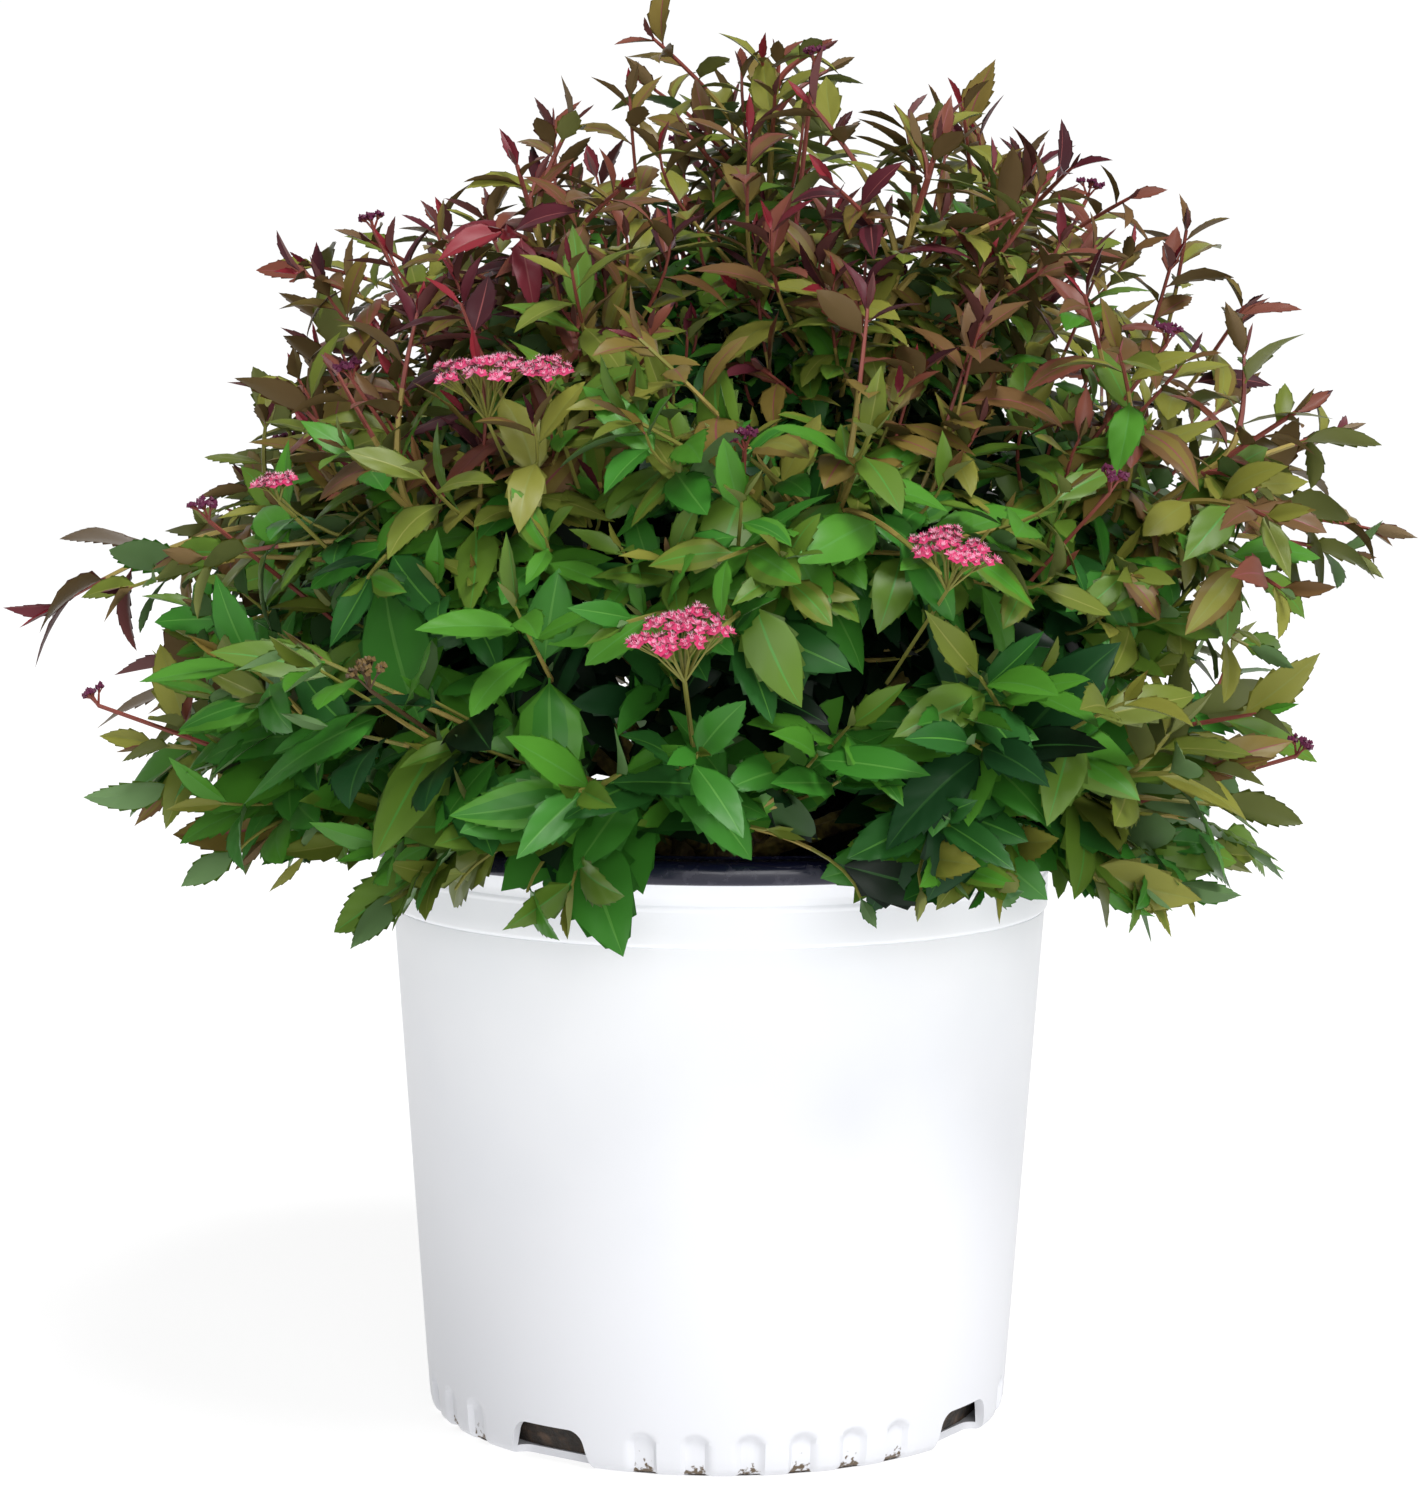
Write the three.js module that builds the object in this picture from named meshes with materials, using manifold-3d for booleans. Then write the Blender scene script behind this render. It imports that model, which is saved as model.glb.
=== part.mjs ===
// A spirea shrub in its white nursery pot. Millimetres, +Z up, the pot's flat underside on z = 0.
// Canes spread from a short root crown, and each one carries its own mass of twigs and leaves.
import * as THREE from "three";
import { mergeVertices } from "three/addons/utils/BufferGeometryUtils.js";
import Module from "manifold-3d";

const wasm = await Module();
wasm.setup();

const CLEAR = 0.3; // air between neighbouring pieces
const TURN = 2 * Math.PI;
const DEGREE = Math.PI / 180;
const UP = new THREE.Vector3(0, 0, 1);
const GRID = 0.004; // every corner lies on a grid this fine, so that all readers see the same ones
const SLIVER = 0.25; // detail smaller than this is smoothed away where leaves are joined

// The pot: a blown shell, white outside and navy inside, with a rolled lip
const POT_HEIGHT = 241;
const FOOT_RADIUS = 117.5;
const FOOT_ROUND = 4.5;
const SHOULDER_HEIGHT = 206;
const SHOULDER_RADIUS = 132;
const SHOULDER_STEP = 1.1;
const COLLAR_HEIGHT = 222;
const WALL = 2;
const FOOT_WALL = 4; // the wall is thicker round the flutes
const FOOT_BAND = 22;
const BAND_EDGE = 6;
const FLOOR = 3;
const LINING = 1.2;
const LINING_DEPTH = 48;
const LIP_RADIUS = 150.5;
const LIP_HEIGHT = 9;
const STEP_RISE = 1.5;
const COLLAR_RADIUS = SHOULDER_RADIUS + SHOULDER_STEP;
const FLARE_RADIUS = LIP_RADIUS - 5;
const FLARE_HEIGHT = POT_HEIGHT - LIP_HEIGHT + 1;
const FLARE_CURVE = [[0.18, 0.3], [0.72, 0.72], [1, 1]]; // shares outwards and upwards
const THROAT_HEIGHT = COLLAR_HEIGHT + 3; // inside, where the wall starts to flare
const POT_SIDES = 36;
const MIX_SIDES = 24;
const HEAD_SIDES = 12;

// Drain notches and flutes round the foot, four quarters alike
const QUARTERS = 4;
const FIRST_NOTCH = -123.8 * DEGREE;
const NOTCH_WIDTH = 42;
const NOTCH_TOP_WIDTH = 30;
const NOTCH_HEIGHT = 15;
const NOTCH_DEPTH = 9;
const FLUTES = 6;
const FLUTE_PITCH = 10.1 * DEGREE;
const FLUTE_WIDTH = 9.5;
const FLUTE_HEIGHT = 16.5;
const FLUTE_SINK = 1.9;

// The potting mix and the root crown that stands on it
const MIX_HEIGHT = 207;
const MIX_RISE = 3;
const MIX_CHAMFER = 5;
const MIX_AIR = 1; // between the mix and the lining
const CROWN_FLARE = 28; // radius of the root crown's foot
const HEAD_RADIUS = 24; // of its domed head
const HEAD_RISE = 10; // the head's middle above the mix
const HEAD_STEPS = 4;

// Every shoot spreads from one point in the root crown and sags with its distance from the middle
const FOOT = new THREE.Vector3(0, 0, MIX_HEIGHT + MIX_RISE + HEAD_RISE);
const SAG = 50; // of a shoot's spot that stands SAG_REACH out
const SAG_REACH = 280;
const HIGH_REACH = 339;
const LOW_REACH = 205; // at the elevation EASE_ANGLE, from where the reach grows to FULL_ANGLE
const LOW_ANGLE = 8 * DEGREE;
const EASE_ANGLE = LOW_ANGLE - 0.12;
const FULL_ANGLE = 33 * DEGREE;
const TOP_GAIN = 5; // straight up
const TOP_NARROWING = 6; // the higher, the nearer to straight up the gain keeps
const FRONT_SHARE = 0.92; // of the reach, straight to the front
const BACK_SHARE = 0.95;
// Broad hollows in the crown: the direction of each, how far it spreads and its share of the reach;
// a depth below nought swells
const HOLLOWS = [
  { azimuth: 180, elevation: 42, around: 45, upwards: 11, depth: 0.18 },
  { azimuth: 180, elevation: 66, around: 45, upwards: 7, depth: 0.09 },
  { azimuth: 180, elevation: 25, around: 35, upwards: 5, depth: 0.12 },
  { azimuth: 180, elevation: 8, around: 40, upwards: 7, depth: 0.16 },
  { azimuth: 0, elevation: 23, around: 40, upwards: 7, depth: 0.17 },
  { azimuth: 0, elevation: 49, around: 45, upwards: 12, depth: -0.05 },
  { azimuth: 75, elevation: 38, around: 30, upwards: 9, depth: 0.13 },
];

// Canes and twigs
const CANE_SHARE = 0.34;
const CANE_SIDES = 5;
const CANE_STEPS = 3;
const CANE_FOOT = 3.6;
const CANE_TIP = 2.4;
const STEM_TIP = 1.5;
const TWIG_FOOT = 1.5;
const TWIG_TIP = 0.9;
const TWIG_SIDES = 3;
const STEM_STEPS = 3;
const TWIG_STEPS = 2;
const TWIG_INSET = 2.2 * DEGREE;
const TWIG_SPREAD = 0.86; // of the half width of a mass's space
const TWIG_SHORTENING = 0.3; // at most, of a twig's reach
const TWIG_SLANT = 1.15; // how far back along the stem a twig starts
const TWIG_BEND = 0.45; // of a twig's run, where it turns out of the stem's line
const STEM_FOOT = 6; // of bare stem under its first twig
const STEM_END = 12; // and past its last one
const ACROSS_STEP = 0.7548777; // the two steps of an even walk over a square
const ALONG_STEP = 0.5698403;
const EDGE_PULL = 0.65; // under 1, so that shoots crowd to the edges of their space
const LEAF_ANGLE = 74 * DEGREE;
const LEAF_SHAPE = { width: 0.48, thick: 0.016, widest: 0.42, fold: 0.05, arch: 0.06, hang: 0.1 };
const LIGHT_PULL = 0.4; // how much a leaf faces up rather than straight out of the crown
const LEAF_SIZES = [1, 0.75, 0.55]; // tried in turn, where a whole leaf has no room
const SIZE_SPREAD = [0.85, 1.12];
const ROOM_ENOUGH = 100;
const SPACE_MARGIN = 0.6;
const LEAF_WAYS = 8; // turns round its shoot that a leaf may take
const TIP_ROOT = 0.96; // of a shoot's length, where the leaf that ends it is rooted
const STEM_LEAVES = [TIP_ROOT, 0.8, 0.6, 0.4];
const TWIG_LEAVES = [TIP_ROOT, 0.78, 0.5];
const TIP_OPENING = 0.3; // of the leaf angle, for a leaf at its shoot's tip
const TIP_SIZE = 0.9;
const TUFT_SHARE = 0.8; // of a leaf that stands beyond its shoot's tip
const LEADER_SHARE = 0.85; // the same on a leader
const LEAF_MIDDLE = 0.6; // of a leaf's length, where its room is measured
const LEAF_FOOT = 0.1; // of its length that may lie in its twig
const RIM_AIR = 2; // between the pot and any leaf or twig
const ROOT_OVERLAP = 0.4; // cubic millimetres of a leaf that may lie in its own twig
const JOINED_SHARE = 0.8; // of a leaf that its mass must gain

// One ring of masses per tier, from the rim up. Angles are elevations from the foot.
const TIERS = [
  { name: "low", count: 6, from: 8, to: 30, axis: 0.6, turn: 18, twigs: 9, leaf: 80, hang: 0.35 },
  { name: "middle", count: 7, from: 30, to: 56, axis: 0.5, turn: 180, twigs: 11, leaf: 78, hang: 0.2 },
  { name: "top", count: 5, from: 56, to: 75, axis: 0.5, turn: 162, twigs: 11, leaf: 74, hang: 0.1 },
  { name: "crest", count: 1, from: 75, to: 90, axis: 0.7, turn: 30, twigs: 10, leaf: 60, hang: 0 },
];
// The furthest shoots: where their tips stand to the side, to the back and up from the ground
const LEADERS = [
  { side: -29, back: -15, height: 564 },
  { side: 39, back: 15, height: 562 },
  { side: -284, back: 0, height: 328 },
  { side: 266, back: -55, height: 366 },
  { side: 200, back: 40, height: 491 },
  { side: -173, back: -40, height: 468 },
  { side: -232, back: 30, height: 260 },
  { side: 244, back: 30, height: 284 },
];
const BORDER_WAVE = 3 * DEGREE; // the border between two tiers rises and falls round the crown
const BORDER_WAVES = 5;

// Flat heads of blossom: where the middle of each stands, and how wide it is
const BLOSSOMS = [
  { side: -85, back: -186, height: 418, width: 38 },
  { side: -62, back: -195, height: 420, width: 20 },
  { side: -161, back: -162, height: 379, width: 16 },
  { side: -13, back: -252, height: 331, width: 39 },
  { side: 79, back: -226, height: 359, width: 34 },
  { side: -123, back: -224, height: 317, width: 18 },
];
const BLOSSOM_DEPTH = 0.26; // of a head's width
const BLOSSOM_SIDES = 7;

// Seeded dice: the same throws on every run
class Dice {
  constructor(seed) {
    this.state = seed;
    this.throw();
  }
  throw() {
    this.state = (this.state * 16807) % 2147483647;
    return this.state / 2147483647;
  }
  between(low, high) {
    return low + (high - low) * this.throw();
  }
}

const mix = THREE.MathUtils.lerp;
const point = (x, y) => new THREE.Vector2(x, y);

// ---- solids ----

// A geometry's corners moved onto the grid and merged, without the faces that collapse
function onGrid(geometry) {
  geometry.deleteAttribute("normal");
  geometry.deleteAttribute("uv");
  const place = geometry.attributes.position;
  for (let i = 0; i < place.array.length; i++) place.array[i] = Math.round(place.array[i] / GRID) * GRID;
  const merged = mergeVertices(geometry, GRID / 4);
  const corners = merged.index.array;
  const faces = [];
  for (let i = 0; i < corners.length; i += 3) {
    const [a, b, c] = corners.subarray(i, i + 3);
    if (a !== b && b !== c && c !== a) faces.push([a, b, c]);
  }
  return { corners: merged.attributes.position.array, faces };
}

// A closed three.js geometry as a manifold solid
function solid(geometry) {
  const { corners, faces } = onGrid(geometry);
  const mesh = new wasm.Mesh({
    numProp: 3,
    vertProperties: new Float32Array(corners),
    triVerts: new Uint32Array(faces.flat()),
  });
  return new wasm.Manifold(mesh);
}

// A manifold solid as a three.js geometry
function geometryOf(body) {
  const { vertProperties, triVerts } = body.getMesh();
  const geometry = new THREE.BufferGeometry();
  geometry.setAttribute("position", new THREE.BufferAttribute(vertProperties, 3));
  geometry.setIndex(new THREE.BufferAttribute(triVerts, 1));
  return geometry;
}

// The largest body, so that sealed hollows are filled and loose scraps dropped
function largest(whole) {
  const bodies = whole.decompose();
  return bodies.reduce((best, body) => (body.volume() > best.volume() ? body : best));
}

// One body whose corners lie on the grid
function oneBody(whole) {
  return largest(solid(geometryOf(largest(whole.simplify(SLIVER)))));
}

// Whether every edge of a body belongs to two faces and no more
function closes(body) {
  const { corners, faces } = onGrid(geometryOf(body));
  const edges = new Set();
  for (const face of faces) {
    for (let side = 0; side < 3; side++) {
      const edge = face[side] * corners.length + face[(side + 1) % 3];
      if (edges.has(edge)) return false;
      edges.add(edge);
    }
  }
  return true;
}

// A named mesh of a manifold solid
function meshOf(name, body, material) {
  const geometry = geometryOf(body);
  geometry.computeVertexNormals();
  const mesh = new THREE.Mesh(geometry, material);
  mesh.name = name;
  return mesh;
}

// A profile of (radius, height) points turned about the Z axis
function turned(profile, sides) {
  return new THREE.LatheGeometry(profile, sides).rotateX(Math.PI / 2);
}

// A closed tapering tube: a cylinder whose rings are moved onto a curve
function taperedTube(curve, footRadius, tipRadius, sides, steps) {
  const tube = new THREE.CylinderGeometry(1, 1, 1, sides, steps);
  const frames = curve.computeFrenetFrames(steps);
  const place = tube.attributes.position;
  const at = new THREE.Vector3();
  for (let i = 0; i < place.count; i++) {
    const step = Math.round((place.getY(i) + 0.5) * steps);
    const radius = mix(footRadius, tipRadius, step / steps);
    curve.getPointAt(step / steps, at);
    at.addScaledVector(frames.binormals[step], place.getX(i) * radius);
    at.addScaledVector(frames.normals[step], place.getZ(i) * radius);
    place.setXYZ(i, at.x, at.y, at.z);
  }
  return tube;
}

// ---- pot ----

// Radius of the pot's outer face at a height on its straight flank
function flankRadius(height) {
  return mix(FOOT_RADIUS, SHOULDER_RADIUS, height / SHOULDER_HEIGHT);
}

function wallProfile() {
  const outside = [point(0, 0), point(FOOT_RADIUS - FOOT_ROUND, 0), point(FOOT_RADIUS, FOOT_ROUND)];
  outside.push(point(SHOULDER_RADIUS, SHOULDER_HEIGHT));
  outside.push(point(COLLAR_RADIUS, SHOULDER_HEIGHT + STEP_RISE));
  outside.push(point(COLLAR_RADIUS, COLLAR_HEIGHT));
  for (const [out, up] of FLARE_CURVE) {
    outside.push(point(mix(COLLAR_RADIUS, FLARE_RADIUS, out), mix(COLLAR_HEIGHT, FLARE_HEIGHT, up)));
  }
  const inside = [
    point(FLARE_RADIUS, FLARE_HEIGHT + WALL),
    point(mix(COLLAR_RADIUS, FLARE_RADIUS, 0.6), mix(COLLAR_HEIGHT, FLARE_HEIGHT, 0.72) + WALL),
    point(COLLAR_RADIUS - WALL, THROAT_HEIGHT),
    point(flankRadius(FOOT_BAND + BAND_EDGE) - WALL, FOOT_BAND + BAND_EDGE),
    point(flankRadius(FOOT_BAND) - FOOT_WALL, FOOT_BAND),
    point(flankRadius(FLOOR) - FOOT_WALL, FLOOR),
    point(0, FLOOR),
  ];
  return [...outside, ...inside];
}

// A drain notch: a trapezoid with its long side on the ground, cut through the wall
function notchCutter() {
  const shape = new THREE.Shape();
  shape.moveTo(-NOTCH_WIDTH / 2, -1);
  shape.lineTo(NOTCH_WIDTH / 2, -1);
  shape.lineTo(NOTCH_TOP_WIDTH / 2 + 2, NOTCH_HEIGHT - 3);
  shape.lineTo(NOTCH_TOP_WIDTH / 2 - 2, NOTCH_HEIGHT);
  shape.lineTo(2 - NOTCH_TOP_WIDTH / 2, NOTCH_HEIGHT);
  shape.lineTo(-NOTCH_TOP_WIDTH / 2 - 2, NOTCH_HEIGHT - 3);
  const cutter = new THREE.ExtrudeGeometry(shape, { depth: 30, bevelEnabled: false });
  return cutter.rotateX(Math.PI / 2).translate(0, -(FOOT_RADIUS - NOTCH_DEPTH), 0);
}

// A flute: a shallow groove with a round head, pressed into the foot of the wall
function fluteCutter() {
  const shape = new THREE.Shape();
  const half = FLUTE_WIDTH / 2;
  shape.moveTo(-half, -1);
  shape.lineTo(half, -1);
  shape.lineTo(half, FLUTE_HEIGHT - 0.6 * half);
  shape.lineTo(0.4 * half, FLUTE_HEIGHT);
  shape.lineTo(-0.4 * half, FLUTE_HEIGHT);
  shape.lineTo(-half, FLUTE_HEIGHT - 0.6 * half);
  const settings = { depth: 20, bevelEnabled: false };
  const flankLean = Math.atan2(SHOULDER_RADIUS - FOOT_RADIUS, SHOULDER_HEIGHT);
  const cutter = new THREE.ExtrudeGeometry(shape, settings);
  return cutter.rotateX(Math.PI / 2 + flankLean).translate(0, -(FOOT_RADIUS - FLUTE_SINK), 0);
}

function potWall() {
  let wall = solid(turned(wallProfile(), POT_SIDES));
  for (let quarter = 0; quarter < QUARTERS; quarter++) {
    const notchTurn = FIRST_NOTCH + Math.PI / 2 + (quarter * TURN) / QUARTERS;
    wall = wall.subtract(solid(notchCutter().rotateZ(notchTurn)));
    for (let flute = 0; flute < FLUTES; flute++) {
      const offset = (flute - (FLUTES - 1) / 2) * FLUTE_PITCH;
      wall = wall.subtract(solid(fluteCutter().rotateZ(notchTurn + Math.PI / 4 + offset)));
    }
  }
  return oneBody(wall);
}

// The lip rolls out over the flare, and its lining runs down inside the wall past the mix
function potRim() {
  const under = POT_HEIGHT - LIP_HEIGHT;
  const seat = FLARE_HEIGHT + WALL + CLEAR;
  const throat = COLLAR_RADIUS - WALL - CLEAR;
  const liningFoot = POT_HEIGHT - LINING_DEPTH;
  const band = FOOT_BAND + BAND_EDGE;
  const rise = (liningFoot - band) / (THROAT_HEIGHT - band);
  const footRadius = mix(flankRadius(band) - WALL - CLEAR, throat, rise);
  const profile = [
    point(footRadius - LINING, liningFoot),
    point(footRadius, liningFoot),
    point(throat, THROAT_HEIGHT + CLEAR),
    point(mix(throat, FLARE_RADIUS, 0.55), seat - 1.6),
    point(FLARE_RADIUS + CLEAR, seat),
    point(FLARE_RADIUS + 1, under),
    point(LIP_RADIUS - 1, under + 0.6),
    point(LIP_RADIUS, under + 4),
    point(LIP_RADIUS - 2.6, POT_HEIGHT - 0.8),
    point(LIP_RADIUS - 6.5, POT_HEIGHT),
    point(LIP_RADIUS - 12, POT_HEIGHT - 0.8),
    point(throat - LINING, THROAT_HEIGHT + 3),
  ];
  profile.push(profile[0].clone());
  return solid(turned(profile, POT_SIDES));
}

function pottingMix() {
  const air = WALL + 2 * CLEAR + LINING;
  const topRadius = flankRadius(MIX_HEIGHT) - air - MIX_AIR;
  const profile = [
    point(0, FLOOR + CLEAR),
    point(flankRadius(FLOOR) - FOOT_WALL - CLEAR - MIX_CHAMFER, FLOOR + CLEAR),
    point(flankRadius(FOOT_BAND) - FOOT_WALL - 2 * CLEAR, FOOT_BAND),
    point(flankRadius(FOOT_BAND + BAND_EDGE) - air - MIX_AIR, FOOT_BAND + BAND_EDGE),
    point(topRadius, MIX_HEIGHT - MIX_CHAMFER),
    point(topRadius - MIX_CHAMFER, MIX_HEIGHT),
    point(CROWN_FLARE + MIX_CHAMFER, MIX_HEIGHT + MIX_RISE),
    point(0, MIX_HEIGHT + MIX_RISE),
  ];
  return solid(turned(profile, MIX_SIDES));
}

// The short woody stem: a flared foot, a waist and a domed head that the canes leave
function rootCrown() {
  const ground = MIX_HEIGHT + MIX_RISE + CLEAR;
  const profile = [point(0, ground), point(CROWN_FLARE, ground), point(CROWN_FLARE - 1, ground + 3)];
  for (let step = 1; step <= HEAD_STEPS; step++) {
    const turn = (step / HEAD_STEPS) * (Math.PI / 2);
    profile.push(point(HEAD_RADIUS * Math.cos(turn), FOOT.z + HEAD_RADIUS * Math.sin(turn)));
  }
  return solid(turned(profile, HEAD_SIDES));
}

// ---- the crown's space ----

function sagAt(spot) {
  return SAG * (Math.hypot(spot.x, spot.y) / SAG_REACH) ** 2;
}

// A spot given as azimuth, elevation and distance from the foot, lowered by the sag
function spotAt(azimuth, elevation, distance) {
  const flat = Math.cos(elevation) * distance;
  const spot = new THREE.Vector3(
    FOOT.x + flat * Math.cos(azimuth),
    FOOT.y + flat * Math.sin(azimuth),
    FOOT.z + Math.sin(elevation) * distance,
  );
  spot.z -= sagAt(spot);
  return spot;
}

// The same three numbers back from a spot
function bearing(spot) {
  const rise = spot.z + sagAt(spot) - FOOT.z;
  const flat = Math.hypot(spot.x - FOOT.x, spot.y - FOOT.y);
  return {
    azimuth: Math.atan2(spot.y - FOOT.y, spot.x - FOOT.x),
    elevation: Math.atan2(rise, flat),
    distance: Math.hypot(rise, flat),
    flat,
  };
}

// How far round the crown one azimuth lies from another
function angleBetween(one, other) {
  return Math.abs(Math.atan2(Math.sin(one - other), Math.cos(one - other)));
}

// The share of the reach that the hollows leave in a direction
function fullness(azimuth, elevation) {
  let share = 1;
  for (const hollow of HOLLOWS) {
    const swing = angleBetween(azimuth, hollow.azimuth * DEGREE) / (hollow.around * DEGREE);
    const climb = (elevation - hollow.elevation * DEGREE) / (hollow.upwards * DEGREE);
    share -= hollow.depth * Math.exp(-swing * swing - climb * climb);
  }
  return share;
}

// How far the leaf tips reach in a direction
function reach(azimuth, elevation) {
  const lift = THREE.MathUtils.smoothstep(elevation, EASE_ANGLE, FULL_ANGLE);
  const depth = Math.sin(azimuth);
  const side = 1 - (depth < 0 ? 1 - FRONT_SHARE : 1 - BACK_SHARE) * depth * depth;
  const top = TOP_GAIN * Math.max(0, Math.sin(elevation)) ** TOP_NARROWING;
  const round = mix(LOW_REACH, HIGH_REACH, lift) * mix(side, 1, Math.sin(elevation)) + top;
  return round * fullness(azimuth, elevation);
}

// The space of one mass: a sector of azimuth and elevation outside its cane's tip
function spaceOf(tier, index) {
  const half = Math.PI / tier.count;
  const azimuth = tier.turn * DEGREE + (index * TURN) / tier.count;
  const from = tier.from * DEGREE;
  const to = tier.to * DEGREE;
  const axis = mix(from, to, tier.axis);
  return { azimuth, half, from, to, axis, start: CANE_SHARE * reach(azimuth, axis) };
}

// The rise of a border between tiers at an azimuth; the crown's own edges keep their height
function wave(azimuth, border) {
  const free = border > LOW_ANGLE + 0.01 && border < Math.PI / 2 - 0.01;
  return free ? BORDER_WAVE * Math.sin(BORDER_WAVES * azimuth + border) : 0;
}

function inSpace(space, spot, margin) {
  const at = bearing(spot);
  const from = space.from + wave(at.azimuth, space.from);
  const to = space.to + wave(at.azimuth, space.to);
  const swing = angleBetween(at.azimuth, space.azimuth);
  const aside = space.half < Math.PI ? Math.sin(space.half - swing) * at.flat : margin;
  if (swing > space.half || aside < margin) return false;
  if ((at.elevation - from) * at.distance < margin) return false;
  if (to < Math.PI / 2 && (to - at.elevation) * at.distance < margin) return false;
  if (at.distance < space.start + margin) return false;
  const air = margin + RIM_AIR;
  return Math.hypot(spot.x, spot.y) > LIP_RADIUS + air || spot.z > POT_HEIGHT + air;
}

// ---- canes, twigs and leaves ----

function caneCurve(space) {
  const spots = [0, 0.5, 1].map((share) =>
    spotAt(space.azimuth, space.axis, mix(HEAD_RADIUS + CLEAR, space.start - CLEAR, share)),
  );
  return new THREE.CatmullRomCurve3(spots);
}

function stemCurve(space, tipDistance) {
  const spots = [0, 0.5, 1].map((share) =>
    spotAt(space.azimuth, space.axis, mix(space.start, tipDistance, share)),
  );
  return new THREE.CatmullRomCurve3(spots);
}

// A twig leaves the stem where it can reach its tip at an easy angle
function twigCurve(space, stemTip, target) {
  const rises = Math.sin(space.axis) * Math.sin(target.elevation);
  const runs = Math.cos(space.axis) * Math.cos(target.elevation);
  const turn = Math.acos(Math.min(1, rises + runs * Math.cos(target.azimuth - space.azimuth)));
  const leave = target.distance * (Math.cos(turn) - TWIG_SLANT * Math.sin(turn));
  const start = THREE.MathUtils.clamp(leave, space.start + STEM_FOOT, stemTip - STEM_END);
  const run = (target.distance - start) * TWIG_BEND;
  return new THREE.QuadraticBezierCurve3(
    spotAt(space.azimuth, space.axis, start),
    spotAt(space.azimuth, space.axis, start + run),
    spotAt(target.azimuth, target.elevation, target.distance),
  );
}

// A share from 0 to 1 drawn towards both ends
function towardsEdges(share) {
  const side = 2 * share - 1;
  return 0.5 + 0.5 * Math.sign(side) * Math.abs(side) ** EDGE_PULL;
}

// Tips spread over a mass's space by a two-way low-discrepancy walk
function twigTarget(space, tier, number, dice) {
  const across = towardsEdges((0.5 + number * ACROSS_STEP) % 1);
  const along = towardsEdges((0.5 + number * ALONG_STEP) % 1);
  const azimuth = space.azimuth + (2 * across - 1) * space.half * TWIG_SPREAD;
  const from = space.from + wave(azimuth, space.from) + TWIG_INSET;
  const to = Math.min(space.to + wave(azimuth, space.to), Math.PI / 2) - TWIG_INSET;
  const elevation = mix(from, to, along);
  const share = 1 - TWIG_SHORTENING * dice.throw() ** 2;
  const distance = (reach(azimuth, elevation) - TUFT_SHARE * tier.leaf) * share;
  return { azimuth, elevation, distance };
}

// The leaders whose tips stand in a mass's space, shortened by the leaf at the tip
function leaderTargets(space, tier) {
  const tips = LEADERS.map((leader) => new THREE.Vector3(leader.side, leader.back, leader.height));
  return tips
    .filter((tip) => inSpace(space, tip, 2 * SPACE_MARGIN))
    .map((tip) => ({ ...bearing(tip), distance: bearing(tip).distance - LEADER_SHARE * tier.leaf, tip }));
}

// A leader's last leaf runs straight on to the leader's tip
function leaderLeaf(curve, tip) {
  const root = curve.getPointAt(TIP_ROOT);
  const along = tip.clone().sub(root);
  return leafGeometry(root, along.clone().normalize(), UP, along.length());
}

// A flat-topped head of blossom, narrower underneath, that leans out of the crown
function blossomHead(blossom) {
  const radius = blossom.width / 2;
  const depth = BLOSSOM_DEPTH * blossom.width;
  const profile = [
    point(0, -depth / 2),
    point(0.75 * radius, -depth / 4),
    point(radius, depth / 8),
    point(0.6 * radius, depth / 2),
    point(0, 0.6 * depth),
  ];
  const head = turned(profile, BLOSSOM_SIDES);
  const middle = new THREE.Vector3(blossom.side, blossom.back, blossom.height);
  const lean = middle.clone().sub(FOOT).normalize().add(UP).normalize();
  head.applyQuaternion(new THREE.Quaternion().setFromUnitVectors(UP, lean));
  return head.translate(middle.x, middle.y, middle.z);
}

// Corners of a leaf: root, tip, two edges and two faces of an octahedron pulled to a blade
function leafGeometry(root, along, face, length) {
  const across = new THREE.Vector3().crossVectors(face, along).normalize();
  const normal = new THREE.Vector3().crossVectors(along, across).normalize();
  const blade = new THREE.OctahedronGeometry(1);
  const place = blade.attributes.position;
  for (let i = 0; i < place.count; i++) {
    const [x, y, z] = [place.getX(i), place.getY(i), place.getZ(i)];
    const run = x < -0.5 ? 0 : x > 0.5 ? 1 : LEAF_SHAPE.widest;
    const lift =
      run === 1
        ? -LEAF_SHAPE.hang
        : run === 0
          ? 0
          : LEAF_SHAPE.arch + Math.abs(y) * LEAF_SHAPE.fold + (z * LEAF_SHAPE.thick) / 2;
    const corner = root.clone().addScaledVector(along, run * length);
    corner.addScaledVector(across, (y * LEAF_SHAPE.width * length) / 2);
    corner.addScaledVector(normal, lift * length);
    place.setXYZ(i, corner.x, corner.y, corner.z);
  }
  return blade;
}

function leafFits(space, blade, root, length) {
  const place = blade.attributes.position;
  const corner = new THREE.Vector3();
  for (let i = 0; i < place.count; i++) {
    corner.fromBufferAttribute(place, i);
    if (corner.distanceTo(root) < length * LEAF_FOOT) continue;
    if (!inSpace(space, corner, SPACE_MARGIN)) return false;
    if (!inSpace(space, corner.lerp(root, 0.5), SPACE_MARGIN)) return false;
  }
  return true;
}

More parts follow.
